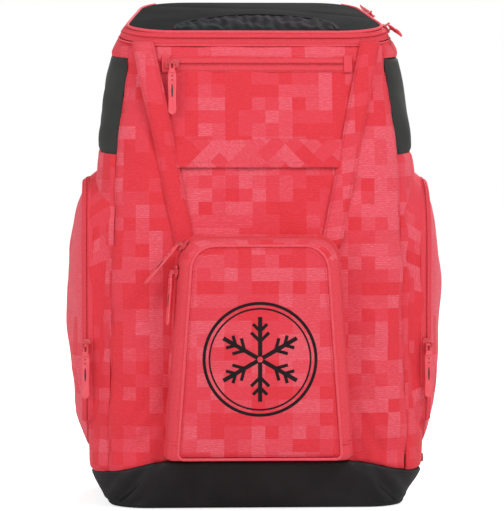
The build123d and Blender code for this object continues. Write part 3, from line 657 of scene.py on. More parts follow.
# ------------------------------------------------------------------ rows of small pieces
@dataclass
class RowMaker:
    """Lays a small piece at a steady pitch along paths, by Geometry Nodes."""

    paths: dict[tuple[str, str], list[tuple[Array, Array]]] = field(default_factory=dict)

    def add(self, body: str, kind: str, path: Array, outs: Array, step: float = 3.0) -> None:
        """Asks for a row of one kind along a path that moves with a body."""
        self.paths.setdefault((body, kind), []).append(evenly(path, outs, step))

    @staticmethod
    def tree() -> tuple[bpy.types.NodeTree, dict[str, str]]:
        """Builds the node tree.

        Returns:
            The tree, and the identifier of each named input.
        """
        tree = bpy.data.node_groups.new("piece_row", "GeometryNodeTree")
        ids = {}
        sockets = (
            ("Path", "NodeSocketGeometry"), ("Pitch", "NodeSocketFloat"),
            ("Piece", "NodeSocketObject"), ("Finish", "NodeSocketMaterial"),
        )
        for label, kind in sockets:
            ids[label] = tree.interface.new_socket(name=label, in_out="INPUT", socket_type=kind).identifier
        tree.interface.new_socket(name="Row", in_out="OUTPUT", socket_type="NodeSocketGeometry")
        make, link = tree.nodes.new, tree.links.new
        given, result = make("NodeGroupInput"), make("NodeGroupOutput")
        curve, even = make("GeometryNodeMeshToCurve"), make("GeometryNodeResampleCurve")
        even.mode = "LENGTH"
        place, info = make("GeometryNodeInstanceOnPoints"), make("GeometryNodeObjectInfo")
        turn, tangent = make("FunctionNodeAxesToRotation"), make("GeometryNodeInputTangent")
        turn.primary_axis, turn.secondary_axis = "X", "Z"
        out = make("GeometryNodeInputNamedAttribute")
        out.data_type = "FLOAT_VECTOR"
        out.inputs["Name"].default_value = "out"
        real, dress = make("GeometryNodeRealizeInstances"), make("GeometryNodeSetMaterial")
        link(given.outputs["Path"], curve.inputs["Mesh"])
        link(curve.outputs["Curve"], even.inputs["Curve"])
        link(given.outputs["Pitch"], even.inputs["Length"])
        link(given.outputs["Piece"], info.inputs["Object"])
        link(even.outputs["Curve"], place.inputs["Points"])
        link(info.outputs["Geometry"], place.inputs["Instance"])
        link(tangent.outputs[0], turn.inputs["Primary Axis"])
        link(out.outputs["Attribute"], turn.inputs["Secondary Axis"])
        link(turn.outputs[0], place.inputs["Rotation"])
        link(place.outputs["Instances"], real.inputs["Geometry"])
        link(real.outputs["Geometry"], dress.inputs["Geometry"])
        link(given.outputs["Finish"], dress.inputs["Material"])
        link(dress.outputs["Geometry"], result.inputs["Row"])
        return tree, ids

    @staticmethod
    def bead(name: str, size: tuple[float, float, float], sides: int, rings: int) -> bpy.types.Object:
        """A small rounded piece, long, wide and high as asked, standing on the origin."""
        spots, faces = [(-size[0] / 2, 0.0, 0.0)], []
        for i in range(1, rings):
            lean = math.pi * i / rings
            for j in range(sides):
                turn = 2 * math.pi * j / sides
                spots.append((
                    -size[0] / 2 * math.cos(lean),
                    size[1] / 2 * math.sin(lean) * math.cos(turn),
                    size[2] / 2 * math.sin(lean) * math.sin(turn),
                ))
        spots.append((size[0] / 2, 0.0, 0.0))
        last = len(spots) - 1
        for j in range(sides):
            k = (j + 1) % sides
            faces.append((0, 1 + k, 1 + j))
            for i in range(rings - 2):
                a, b = 1 + i * sides, 1 + (i + 1) * sides
                faces.append((a + j, a + k, b + k, b + j))
            faces.append((last, last - sides + j, last - sides + k))
        return mesh_object(name, np.array(spots), faces)

    def make_all(self, finishes: dict[str, bpy.types.Material]) -> None:
        """Makes every row that was asked for.

        Args:
            finishes: the material of each kind.
        """
        tree, ids = self.tree()
        beads = {
            "stitch": (self.bead("stitch_bead", (2.3, 0.75, 0.55), 6, 4), 3.3),
            "coil": (self.bead("coil_bead", (0.95, 2.3, 1.3), 6, 4), 1.55),
            "black_stitch": (self.bead("black_stitch_bead", (2.6, 0.8, 0.6), 6, 4), 3.6),
        }
        for (body, kind), paths in sorted(self.paths.items()):
            spots, edges, outs = [], [], []
            for path, out in paths:
                first = len(spots)
                spots.extend((path * MM).tolist())
                outs.extend(out.tolist())
                edges.extend((first + i, first + i + 1) for i in range(len(path) - 1))
            mesh = bpy.data.meshes.new(f"{kind}_rows_{body}")
            mesh.from_pydata(spots, edges, [])
            directions = mesh.attributes.new("out", "FLOAT_VECTOR", "POINT")
            directions.data.foreach_set("vector", np.array(outs).ravel())
            row = bpy.data.objects.new(f"{kind}_rows_{body}", mesh)
            bpy.context.scene.collection.objects.link(row)
            piece, pitch = beads[kind]
            modifier = row.modifiers.new("row", "NODES")
            modifier.node_group = tree
            modifier[ids["Pitch"]] = pitch * MM
            modifier[ids["Piece"]] = piece
            modifier[ids["Finish"]] = finishes[kind]
            settled(row)
            hand_over(row, body)
        for piece, _ in beads.values():
            bpy.data.objects.remove(piece)


ROWS = RowMaker()


# ------------------------------------------------------------------ materials
def linear(red: int, green: int, blue: int) -> Colour:
    """A colour given as it looks on a screen, 0 to 255, as light values."""
    def one(value: int) -> float:
        share = value / 255
        return share / 12.92 if share <= 0.04045 else ((share + 0.055) / 1.055) ** 2.4
    return one(red), one(green), one(blue)


class Graph:
    """The node tree of a material or a world, with short ways to add to it."""

    def __init__(self, owner: bpy.types.Material | bpy.types.World) -> None:
        """Starts with an empty tree."""
        self.owner = owner
        owner.use_nodes = True
        self.tree = owner.node_tree
        self.tree.nodes.clear()

    @classmethod
    def of_material(cls, name: str) -> "Graph":
        """The empty tree of a new material."""
        return cls(bpy.data.materials.new(name))

    def node(self, kind: str, inputs: dict | None = None, **settings: object) -> bpy.types.Node:
        """Adds a node.

        Args:
            kind: the node's type.
            inputs: values or sockets for its inputs, by name or number.
            settings: its own properties.

        Returns:
            The node.
        """
        node = self.tree.nodes.new(kind)
        for key, value in settings.items():
            setattr(node, key, value)
        for key, value in (inputs or {}).items():
            if isinstance(value, bpy.types.NodeSocket):
                self.tree.links.new(value, node.inputs[key])
            else:
                node.inputs[key].default_value = value
        return node

    def math(self, operation: str, a: object, b: object = 0.0, c: object = 0.0) -> bpy.types.NodeSocket:
        """The result of a sum on one, two or three values."""
        values = {0: a, 1: b, 2: c} if operation in ("MULTIPLY_ADD", "SMOOTH_MIN") else {0: a, 1: b}
        return self.node("ShaderNodeMath", values, operation=operation).outputs[0]

    def vector(self, operation: str, a: object, b: object = (0, 0, 0)) -> bpy.types.NodeSocket:
        """The result of a sum on vectors."""
        return self.node("ShaderNodeVectorMath", {0: a, 1: b}, operation=operation).outputs[0]

    def noise(
        self, vector: object, scale: float, detail: float = 2.0, rough: float = 0.5
    ) -> bpy.types.NodeSocket:
        """Smooth noise, about 0 to 1."""
        inputs = {"Vector": vector, "Scale": scale, "Detail": detail, "Roughness": rough}
        return self.node("ShaderNodeTexNoise", inputs).outputs["Fac"]

    def ramp(
        self, value: object, stops: Sequence[tuple[float, Colour | float]], steps: bool = False
    ) -> bpy.types.NodeSocket:
        """Colours by value, blended or in steps."""
        node = self.node("ShaderNodeValToRGB", {"Fac": value})
        node.color_ramp.interpolation = "CONSTANT" if steps else "LINEAR"
        while len(node.color_ramp.elements) < len(stops):
            node.color_ramp.elements.new(0.5)
        for element, (place, colour) in zip(node.color_ramp.elements, stops):
            element.position = place
            element.color = (*(colour if isinstance(colour, tuple) else (colour,) * 3), 1.0)
        return node.outputs["Color"]

    def mix(self, share: object, a: object, b: object) -> bpy.types.NodeSocket:
        """A blend of two colours."""
        def colour(value: object) -> object:
            return (*value, 1.0) if isinstance(value, tuple) else value
        node = self.node("ShaderNodeMix", {0: share, 6: colour(a), 7: colour(b)}, data_type="RGBA")
        return node.outputs[2]

    def cloth_place(self, turn: float = 0.0) -> bpy.types.NodeSocket:
        """Places on the flat cloth in millimetres."""
        uv = self.node("ShaderNodeUVMap").outputs[0]
        inputs = {"Vector": uv, "Rotation": (0.0, 0.0, turn), "Scale": (1 / MM, 1 / MM, 1 / MM)}
        return self.node("ShaderNodeMapping", inputs).outputs[0]

    def solid_place(self) -> bpy.types.NodeSocket:
        """Places in space in millimetres."""
        spot = self.node("ShaderNodeTexCoord").outputs["Object"]
        inputs = {"Vector": spot, "Scale": (1 / MM, 1 / MM, 1 / MM)}
        return self.node("ShaderNodeMapping", inputs).outputs[0]

    def split(self, vector: object) -> tuple[bpy.types.NodeSocket, ...]:
        """The three parts of a vector."""
        return tuple(self.node("ShaderNodeSeparateXYZ", {0: vector}).outputs)

    def wave(self, value: object, pitch: float) -> bpy.types.NodeSocket:
        """A sine of a length, which repeats at the pitch."""
        return self.math("SINE", self.math("MULTIPLY", value, 2 * math.pi / pitch))

    def bump(self, height: object, deep: float, under: object | None = None) -> bpy.types.NodeSocket:
        """Surface relief, deep millimetres from 0 to 1 of its height."""
        inputs = {"Height": height, "Distance": deep * MM, "Strength": 1.0}
        if under is not None:
            inputs["Normal"] = under
        return self.node("ShaderNodeBump", inputs).outputs[0]

    def finish(
        self, colour: object, rough: object, normal: object | None = None, **sockets: object
    ) -> bpy.types.Material:
        """Closes the tree with its surface.

        Args:
            colour: the base colour.
            rough: the roughness.
            normal: the relief.
            sockets: further plain values, by socket name with _ for a space.

        Returns:
            The finished material.
        """
        inputs: dict[str, object] = {
            "Base Color": (*colour, 1.0) if isinstance(colour, tuple) else colour, "Roughness": rough,
        }
        if normal is not None:
            inputs["Normal"] = normal
        inputs.update({key.replace("_", " "): value for key, value in sockets.items()})
        shader = self.node("ShaderNodeBsdfPrincipled", inputs)
        self.node("ShaderNodeOutputMaterial", {"Surface": shader.outputs[0]})
        return self.owner


@dataclass(frozen=True)
class BlockedCloth:
    """Red cloth woven in tone-on-tone blocks, with pale hairlines across the light ones."""

    name: str
    turn: float = 0.0
    # lighter shifts the whole tone; the panels' lighter and darker copies use it for painted light and
    # painted shade
    lighter: float = 0.0
    block: tuple[float, float] = (14.5, 14.0)
    dark: Colour = linear(228, 54, 66)
    middle: Colour = linear(230, 64, 78)
    pale: Colour = linear(232, 74, 89)
    light: Colour = linear(235, 86, 101)
    hair: Colour = linear(248, 160, 170)
    hair_pitch: float = 1.9
    steps: tuple[float, ...] = (0.0, 0.455, 0.525, 0.585)
    hairiness: tuple[float, ...] = (0.08, 0.12, 0.26, 0.42)
    yarn: float = 0.9

    def material(self) -> bpy.types.Material:
        """Builds the cloth's material."""
        g = Graph.of_material(self.name)
        place = g.cloth_place(self.turn)
        small, large, wide, tall = (
            g.vector("FLOOR", g.vector("DIVIDE", place, (across * self.block[0], up * self.block[1], 1.0)))
            for across, up in ((1, 1), (2, 3), (3, 1), (1, 4))
        )
        cluster = g.noise(g.vector("ADD", large, (0.31, 0.17, 0.5)), 0.83, 0.0)
        bars = g.noise(g.vector("ADD", wide, (7.3, 2.17, 3.5)), 0.91, 0.0)
        speck = g.node("ShaderNodeTexWhiteNoise", {"Vector": small}, noise_dimensions="3D").outputs["Value"]
        posts = g.noise(g.vector("ADD", tall, (3.1, 5.37, 8.5)), 0.87, 0.0)
        value = g.math("MULTIPLY_ADD", cluster, 0.40, g.math("MULTIPLY", bars, 0.22))
        value = g.math("MULTIPLY_ADD", posts, 0.24, value)
        # the tone shift here is painted light where it lifts the tone and painted shade where it lowers it
        value = g.math("MULTIPLY_ADD", speck, 0.16, g.math("ADD", value, self.lighter))
        shades = (self.dark, self.middle, self.pale, self.light)
        tone = g.ramp(value, list(zip(self.steps, shades)), True)
        amount = g.ramp(value, list(zip(self.steps, self.hairiness)), True)
        x, y, _ = g.split(place)
        drift = g.noise(g.vector("MULTIPLY", place, (0.06, 0.16, 1.0)), 1.0, 2.0)
        phase = g.math("MULTIPLY_ADD", y, 2 * math.pi / self.hair_pitch, g.math("MULTIPLY", drift, 14.0))
        line = g.math("POWER", g.math("MULTIPLY_ADD", g.math("SINE", phase), 0.5, 0.5), 3.0)
        broken = g.noise(g.vector("MULTIPLY", place, (0.22, 1.1, 1.0)), 1.0, 1.0)
        runs = g.math("MULTIPLY", line, g.ramp(broken, [(0.42, 0.0), (0.6, 1.0)]))
        hairs = g.math("MULTIPLY", runs, amount)
        heather = g.noise(place, 0.45, 4.0, 0.75)
        colour = g.mix(hairs, tone, self.hair)
        colour = g.mix(g.ramp(heather, [(0.35, 0.13), (0.62, 0.0)]), colour, self.dark)
        weave = g.math("MULTIPLY", g.wave(x, self.yarn), g.wave(y, self.yarn))
        weave = g.math("MULTIPLY_ADD", weave, 0.5, line)
        normal = g.bump(g.math("MULTIPLY_ADD", heather, 1.5, weave), 0.11)
        return g.finish(
            colour, 0.82, normal, Sheen_Weight=0.06, Sheen_Roughness=0.5, Specular_IOR_Level=0.25)


@dataclass(frozen=True)
class PlainCloth:
    """One-colour woven cloth or tape, with a fine rib and slight unevenness."""

    name: str
    colour: Colour
    deep: Colour
    rib: float = 1.3
    rough: float = 0.8
    relief: float = 0.1
    on_cloth: bool = True
    shine: float = 0.3

    def material(self) -> bpy.types.Material:
        """Builds the cloth's material."""
        g = Graph.of_material(self.name)
        place = g.cloth_place() if self.on_cloth else g.solid_place()
        x, y, z = g.split(place)
        cross = y if self.on_cloth else z
        rising, falling = (g.wave(g.math(way, x, cross), self.rib) for way in ("ADD", "SUBTRACT"))
        twill = g.math("MULTIPLY", rising, falling)
        heather = g.noise(place, 0.5, 4.0, 0.7)
        wear = g.noise(place, 0.035, 3.0)
        mixed = g.math("MULTIPLY_ADD", twill, 0.12, heather)
        colour = g.mix(g.ramp(mixed, [(0.32, 1.0), (0.68, 0.0)]), self.colour, self.deep)
        colour = g.mix(g.math("MULTIPLY", wear, 0.25), colour, self.deep)
        normal = g.bump(g.math("MULTIPLY_ADD", twill, 0.5, heather), self.relief)
        return g.finish(colour, self.rough, normal, Specular_IOR_Level=self.shine)


@dataclass(frozen=True)
class CoatedCloth:
    """Black coated cloth: a fine grain, faint creases and a satin face."""

    name: str
    colour: Colour = (0.0100, 0.0092, 0.0100)
    worn: Colour = (0.0185, 0.0172, 0.0180)
    rough: float = 0.60
    shine: float = 0.26

    def material(self) -> bpy.types.Material:
        """Builds the coated cloth's material."""
        g = Graph.of_material(self.name)
        place = g.solid_place()
        grain = g.node("ShaderNodeTexVoronoi", {"Vector": place, "Scale": 0.95}).outputs["Distance"]
        cloud = g.noise(place, 0.02, 4.0)
        fine = g.noise(place, 0.7, 3.0)
        creases = g.math("ABSOLUTE", g.math("SUBTRACT", g.noise(place, 0.045, 2.0), 0.5))
        colour = g.mix(g.ramp(cloud, [(0.35, 0.0), (0.7, 1.0)]), self.colour, self.worn)
        rough = g.math("MULTIPLY_ADD", fine, 0.16, self.rough - 0.08)
        height = g.math("MULTIPLY_ADD", grain, 0.5, g.math("MULTIPLY", creases, 2.0))
        return g.finish(colour, rough, g.bump(height, 0.16), Specular_IOR_Level=self.shine)


@dataclass(frozen=True)
class NetCloth:
    """Knitted net: dark threads round deeper holes."""

    name: str
    thread: Colour = (0.042, 0.038, 0.042)
    hole: Colour = (0.006, 0.005, 0.006)
    pitch: float = 2.4
    relief: float = 0.45
    on_cloth: bool = True

    def material(self) -> bpy.types.Material:
        """Builds the net's material."""
        g = Graph.of_material(self.name)
        place = g.cloth_place() if self.on_cloth else g.solid_place()
        x, y, z = g.split(place)
        cross = y if self.on_cloth else z
        row = g.wave(cross, self.pitch * 0.87)
        shift = g.math("MULTIPLY", g.math("SIGN", row), self.pitch / 4)
        column = g.wave(g.math("ADD", x, shift), self.pitch)
        hole = g.math("MULTIPLY", g.math("ABSOLUTE", row), g.math("MULTIPLY_ADD", column, 0.5, 0.5))
        uneven = g.noise(place, 0.08, 2.0)
        colour = g.mix(g.ramp(hole, [(0.30, 0.0), (0.55, 1.0)]), self.thread, self.hole)
        colour = g.mix(g.math("MULTIPLY", uneven, 0.3), colour, self.hole)
        normal = g.bump(g.ramp(hole, [(0.25, 1.0), (0.6, 0.0)]), self.relief)
        return g.finish(colour, 0.78, normal, Specular_IOR_Level=0.02)


@dataclass(frozen=True)
class Webbing:
    """Narrow woven webbing with ribs across it."""

    name: str
    colour: Colour = (0.022, 0.021, 0.022)
    light: Colour = (0.062, 0.060, 0.062)
    pitch: float = 2.0

    def material(self) -> bpy.types.Material:
        """Builds the webbing's material."""
        g = Graph.of_material(self.name)
        place = g.solid_place()
        x, _, z = g.split(place)
        rib = g.wave(g.math("ADD", z, g.math("MULTIPLY", x, 0.5)), self.pitch)
        cross = g.wave(x, self.pitch * 0.6)
        height = g.math("MULTIPLY_ADD", rib, 0.35, g.math("MULTIPLY_ADD", cross, 0.15, 0.5))
        fuzz = g.noise(place, 0.8, 3.0)
        colour = g.mix(g.math("MULTIPLY", g.math("MULTIPLY", height, fuzz), 1.2), self.colour, self.light)
        return g.finish(colour, 0.7, g.bump(height, 0.25), Sheen_Weight=0.03, Specular_IOR_Level=0.2)


@dataclass(frozen=True)
class Moulded:
    """Moulded plastic or enamel: a fine texture, and rubbed lighter patches."""

    name: str
    colour: Colour
    rubbed: Colour
    rough: float = 0.45
    relief: float = 0.04
    coat: float = 0.0
    shine: float = 0.5

    def material(self) -> bpy.types.Material:
        """Builds the plastic's material."""
        g = Graph.of_material(self.name)
        place = g.solid_place()
        spark = g.noise(place, 1.6, 3.0, 0.6)
        patch = g.noise(place, 0.11, 4.0, 0.65)
        colour = g.mix(g.ramp(patch, [(0.45, 0.0), (0.75, 0.8)]), self.colour, self.rubbed)
        rough = g.math("MULTIPLY_ADD", patch, 0.2, self.rough - 0.1)
        return g.finish(
            colour, rough, g.bump(spark, self.relief), Coat_Weight=self.coat, Coat_Roughness=0.25,
            Specular_IOR_Level=self.shine,
        )


@dataclass
class Wardrobe:
    """Every finish of the bag, made once."""

    made: dict[str, bpy.types.Material] = field(default_factory=dict)

    def recipes(self) -> dict[str, object]:
        """The finishes by short name."""
        facing, thread = linear(236, 84, 97), linear(238, 92, 104)
        return {
            **self.blocked(),
            "strip": PlainCloth("red_facing", facing, linear(230, 60, 70)),
            "tape": PlainCloth("red_zip_tape", facing, linear(230, 62, 74), rib=1.0),
            "piping": PlainCloth(
                "red_piping", linear(240, 98, 110), linear(233, 72, 84), rib=1.6, on_cloth=False),
            "thread": PlainCloth("red_thread", thread, linear(214, 52, 62), rib=0.7, on_cloth=False),
            "coil": PlainCloth("red_zip_coil", thread, linear(214, 56, 68), rough=0.5, on_cloth=False),
            "black": CoatedCloth("black_coated_cloth"),
            "black_lid": CoatedCloth(
                "black_lid_cloth", (0.0150, 0.0142, 0.0150), (0.0240, 0.0228, 0.0238), 0.85, 0.01),
            "black_side": CoatedCloth(
                "black_side_cloth", (0.024, 0.024, 0.023), (0.036, 0.036, 0.034), 0.74),
            "gathered": NetCloth("gathered_net"),
            "spacer": NetCloth(
                "spacer_net", (0.062, 0.059, 0.062), (0.012, 0.011, 0.012), 3.6, 0.8, False),
            "binding": PlainCloth(
                "black_binding", (0.030, 0.029, 0.030), (0.016, 0.015, 0.016), 1.8, 0.8, 0.15, False, 0.04),
            "black_thread": PlainCloth(
                "black_thread", (0.05, 0.048, 0.05), (0.02, 0.02, 0.02), on_cloth=False),
            "lining": PlainCloth(
                "dark_lining", (0.055, 0.055, 0.058), (0.030, 0.030, 0.032), 1.6, 0.75, 0.08, False, 0.1),
            "webbing": Webbing("black_webbing"),
            "plastic": Moulded(
                "black_moulded_plastic", (0.012, 0.012, 0.013), (0.022, 0.022, 0.023), shine=0.3),
            "board": Moulded("dark_board", (0.045, 0.045, 0.046), (0.062, 0.062, 0.064), 0.7, 0.1),
            "enamel": Moulded("red_enamel", linear(206, 46, 58), linear(222, 92, 100), 0.38, 0.02, 0.3),
            "pull": Moulded("red_moulded_pull", linear(234, 78, 90), linear(238, 104, 114), 0.5),
            "slit": Moulded("black_insert", (0.010, 0.010, 0.011), (0.020, 0.020, 0.021), 0.6),
            "print": Moulded(
                "black_print", (0.012, 0.009, 0.010), (0.030, 0.015, 0.017), 0.7, 0.05, shine=0.12),
            "rivet": Moulded("dark_red_rivet", linear(142, 20, 34), linear(186, 60, 72), 0.4, 0.03, 0.3),
        }

    @staticmethod
    def blocked() -> dict[str, BlockedCloth]:
        """The blocked cloth as each panel takes it: its turn in degrees, and how much lighter, where the
        lighter and darker copies are painted light and painted shade.
        """
        # The lighter kinds carry painted light and the darker kinds carry painted shade, for panels that face
        # towards or away from the lamps; the turned kinds only turn the pattern.
        kinds = {
            "": (0.0, 0.0), "_light": (0.0, 0.075), "_band": (45.0, 0.0), "_dark": (0.0, -0.07),
            "_strap": (12.0, 0.0), "_strap_left": (-9.0, -0.035), "_left": (0.0, -0.035),
            "_bright": (0.0, 0.11),
        }
        return {
            f"blocks{kind}": BlockedCloth(f"red_blocked_cloth{kind}", math.radians(turn), lighter)
            for kind, (turn, lighter) in kinds.items()
        }

    def get(self, name: str) -> bpy.types.Material:
        """The material of a short name."""
        if name not in self.made:
            self.made[name] = self.recipes()[name].material()
        return self.made[name]


FINISHES = Wardrobe()


def dress(obj: bpy.types.Object, *names: str) -> bpy.types.Object:
    """Puts finishes on an object, in the order of its material slots."""
    obj.data.materials.clear()
    for name in names:
        obj.data.materials.append(FINISHES.get(name))
    return obj


def hand_over(
    obj: bpy.types.Object,
    body: str,
    nodes: Sequence[str] = (),
    cut: tuple[float, float, float] | None = None,
) -> bpy.types.Object:
    """Gives a finished piece to its body, and hides the plain solids that it replaces.

    Args:
        obj: the piece.
        body: the body that it moves with.
        nodes: the plain solids that it replaces.
        cut: width, length and area of the flat cloth in metres, for a sheet; not used.

    Returns:
        The piece.
    """
    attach(obj, body)
    if nodes:
        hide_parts(*nodes)
    log.info("%s rides on %s, %d faces", obj.name, body, len(obj.data.polygons))
    return obj


def sew_sheet(
    name: str,
    patch: Patch,
    looks: Sequence[str],
    thick: float,
    nodes: Sequence[str] = (),
    body: str = "pack",
    area: float | None = None,
) -> bpy.types.Object:
    """Builds a sheet from its patch, dresses it, gives it its thickness and hands it over.

    Args:
        name: the piece's name.
        patch: the sheet's surface.
        looks: the finishes of its outer and inner face.
        thick: its thickness.
        nodes: the plain solids that it replaces.
        body: the body that it moves with.
        area: the flat cloth's area in square metres, where it isn't the patch's own.

    Returns:
        The piece.
    """
    obj = backed(dress(patch.build(name), *looks), thick)
    width, length, whole = patch.cut_size()
    cut = (width, length, whole if area is None else min(area, width * length))
    return hand_over(obj, body, nodes, cut)


# ------------------------------------------------------------------ the shell
@dataclass
class Shell:
    """The sewn body: front, side and back panels, black wings and base."""

    backing: float = 3.0
    front_low: float = 268.0
    under_lid: float = -6.2
    # height above which the upper front panel takes painted light
    bright_low: float = 487.0
    seam_aside: float = 3.4
    hole_box: tuple[float, float, float, float] = (-112.0, 57.0, 65.0, 350.0)
    hole_corner: float = 62.0

    @staticmethod
    def brighten(obj: bpy.types.Object, low: float) -> None:
        """Gives the faces above a height the brighter cloth: painted light at the top of the panel, as if lit
        from above.
        """
        obj.data.materials.append(FINISHES.get("blocks_bright"))
        for face in obj.data.polygons:
            if face.center.z > low * MM and face.material_index == 0:
                face.material_index = 2

    def panel(
        self, name: str, patch: Patch, look: str, *nodes: str, slot: str = "shell_fabric"
    ) -> bpy.types.Object:
        """Sews one lined panel of the shell."""
        return sew_sheet(name, patch, (look, "lining"), self.backing, nodes)

    def lid_seam(self, s: Array) -> Array:
        """Height of the shell's upper edge, just under the lid's zip."""
        return FORM.lid_line(s, self.under_lid)

    def front(self) -> None:
        """The two panels between the slanting seams, above and behind the pocket."""
        def left(z: Array) -> Array:
            return -SEAMS.slant(z)

        upper = shell_patch(left, SEAMS.slant, level(self.front_low), self.lid_seam, 3.4)
        upper.sew("left right high", puff=1.2)
        z, x = upper.points[..., 2], upper.points[..., 0]
        fold = 487.5 - 5.0 * (np.abs(x) / 115.0) ** 2.5
        ridge, dip = np.exp(-((z - fold - 1.2) / 2.2) ** 2), np.exp(-((z - fold + 1.6) / 1.6) ** 2)
        upper.move(1.5 * ridge - 1.3 * dip)
        upper.rumple(4, 46.0, 0.7).rumple(5, 17.0, 0.22)
        upper.move(-0.5 * np.exp(-((z - 480.0) / 9.0) ** 2) * (np.abs(x) < 100))
        upper.flat = upper.flat + np.array([6.0, 4.0])
        panel = self.panel("front_panel_upper_cloth", upper, "blocks", "front_panel_upper")
        # painted light: the panel's top takes the brighter copy of the cloth
        self.brighten(panel, self.bright_low)
        line = np.linspace(-112.0, 112.0, 80)
        ROWS.add("pack", "stitch", *FORM.front_at(line, 484.2 - 5.0 * (np.abs(line) / 115.0) ** 2.5, 0.4))
        lower = shell_patch(left, SEAMS.slant, SEAMS.base, level(self.front_low - 0.5), 6.0)
        lower.sew("left right low", puff=0.0)
        # painted shade: the lower front panel takes the darker copy of the cloth, darker towards the bottom
        self.panel("front_panel_lower_cloth", lower, "blocks_dark", "front_panel_lower")

    def seam_row(
        self, place: Callable[[Array], Array], low: float, high: float, inset: float, sign: int
    ) -> None:
        """A stitch row beside a seam that runs up the form."""
        z = np.linspace(low, high, 120)
        points, normals = FORM.at(sign * place(z), z, 0.0)
        forward = tangents(points)
        aside = unit(np.cross(normals, forward)) * inset
        ROWS.add("pack", "stitch", points + aside + normals * 0.2, normals)

    def flanks(self, side: Side) -> None:
        """The panels beside the front, the black wing and the boot side, on one side."""
        sign, word = side.value, side.word
        near = "left" if sign > 0 else "right"

        def between(a: Callable, b: Callable, *rest: object) -> Patch:
            """A patch from seam a round to seam b on this side."""
            lines = (lambda z: sign * a(z), lambda z: sign * b(z))
            return shell_patch(*lines[::sign], *rest)

        def wing_low(s: Array) -> Array:
            return SEAMS.wing(s, False)

        def wing_high(s: Array) -> Array:
            return SEAMS.wing(s, True)

        def spot(x: float, z: float) -> Array:
            return FORM.front_at(np.array(sign * x), np.array(float(z)))[0]

        back = level(FORM.back_seam)
        panel = between(SEAMS.slant, SEAMS.side, SEAMS.base, self.lid_seam, 3.4)
        z = panel.points[..., 2]
        panel.sew(puff=2.4)
        panel.rumple(11 + sign, 60.0, 1.0 + 0.9 * ease((150 - z) / 110)).rumple(21 + sign, 22.0, 0.35)
        beside = np.array([-sign * 9.0, 0.0, 8.0])
        for low_x, low_z, high_x, high_z, depth in (
            (152, 62, 112, 126, 4.2), (136, 58, 104, 104, 3.2), (158, 96, 124, 176, 3.0),
            (150, 170, 118, 236, 2.0), (128, 470, 148, 420, 2.2), (120, 498, 146, 470, 2.6),
            (112, 300, 136, 346, 1.5),
        ):
            low, high = spot(low_x, low_z), spot(high_x, high_z)
            panel.crease(low, high, depth, 6.5).crease(low + beside, high + beside, -0.8 * depth, 8.0)
        panel.pucker("low", 13.0, 1.1, 12.0).pucker(near, 17.0, 0.5)
        panel.flat = panel.flat + np.array([3.0 + 31.0 * sign, 7.0 * sign])
        # painted light on the right panel and painted shade on the left one, as the lamps fall from the right
        look = "blocks_light" if side is Side.RIGHT else "blocks_left"
        self.panel(f"front_panel_{word}_cloth", panel, look, f"front_panel_{word}")
        shoulder = between(SEAMS.side, back, wing_high, self.lid_seam, 4.0)
        shoulder.sew(depth=1.3, puff=1.4).rumple(31 + sign, 34.0, 0.9)
        shoulder.flat = shoulder.flat + np.array([12.0, 3.0])
        self.panel(f"shoulder_{word}_cloth", shoulder, "blocks")
        wing = between(SEAMS.side, back, wing_low, wing_high, 4.0)
        wing.sew(puff=1.8).rumple(41 + sign, 48.0, 1.0).pucker(near, 19.0, 0.6)
        self.panel(f"side_wing_{word}_cloth", wing, "black_side", f"side_wing_{word}", slot="tarpaulin")
        flank = between(SEAMS.side, back, SEAMS.base, wing_low, 4.2)
        flank.sew(puff=2.0).rumple(51 + sign, 50.0, 0.9)
        flank.flat = flank.flat + np.array([5.0, 5.0 * sign])
        obj = flank.build(f"side_panel_{word}_cloth")
        self.cut_boot_hole(obj)
        backed(dress(obj, "blocks", "lining"), self.backing)
        width, length, area = flank.cut_size()
        hand_over(obj, "pack", [f"side_panel_{word}"], cut=(width, length, area * 0.55))
        self.seam_row(SEAMS.slant, 60.0, 500.0, -self.seam_aside * sign, sign)
        self.seam_row(SEAMS.side, 60.0, 470.0, self.seam_aside * sign, sign)

    def cut_boot_hole(self, obj: bpy.types.Object) -> None:
        """Opens the side panel where the boot door's gusset starts."""
        y0, y1, z0, z1 = (value * MM for value in self.hole_box)
        corner = self.hole_corner * MM
        mesh = obj.data
        spots = np.array([v.co for v in mesh.vertices])

        def outside(p: Array) -> Array:
            """How far points lie outside the hole's outline."""
            qy = np.abs(p[:, 1] - (y0 + y1) / 2) - (y1 - y0) / 2 + corner
            qz = np.abs(p[:, 2] - (z0 + z1) / 2) - (z1 - z0) / 2 + corner
            over = np.hypot(np.maximum(qy, 0), np.maximum(qz, 0))
            return over + np.minimum(np.maximum(qy, qz), 0) - corner

        inside = outside(spots) < -2.2 * MM
        kept = [p for p in mesh.polygons if not any(inside[i] for i in p.vertices)]
        keep = [tuple(p.vertices) for p in kept]
        places = [[mesh.uv_layers[0].data[k].uv[:] for k in p.loop_indices] for p in kept]
        used = sorted({i for face in keep for i in face})
        number = {old: new for new, old in enumerate(used)}
        fresh = bpy.data.meshes.new(mesh.name)
        fresh.from_pydata(spots[used].tolist(), [], [[number[i] for i in face] for face in keep])
        fresh.uv_layers.new(name="cloth").data.foreach_set("uv", np.array(places).ravel())
        fresh.shade_smooth()
        obj.data = fresh
        bpy.data.meshes.remove(mesh)

    def back(self) -> None:
        """The black back panel behind the pads."""
        patch = shell_patch(
            level(FORM.back_seam), level(10.0 - FORM.back_seam), SEAMS.base,
            lambda s: FORM.lid_line(np.asarray(s), -0.6), 6.0,
        )
        patch.sew("left right low", puff=0.8).rumple(61, 70.0, 0.5)
        self.panel("back_panel_cloth", patch, "black", "back_panel", slot="tarpaulin")

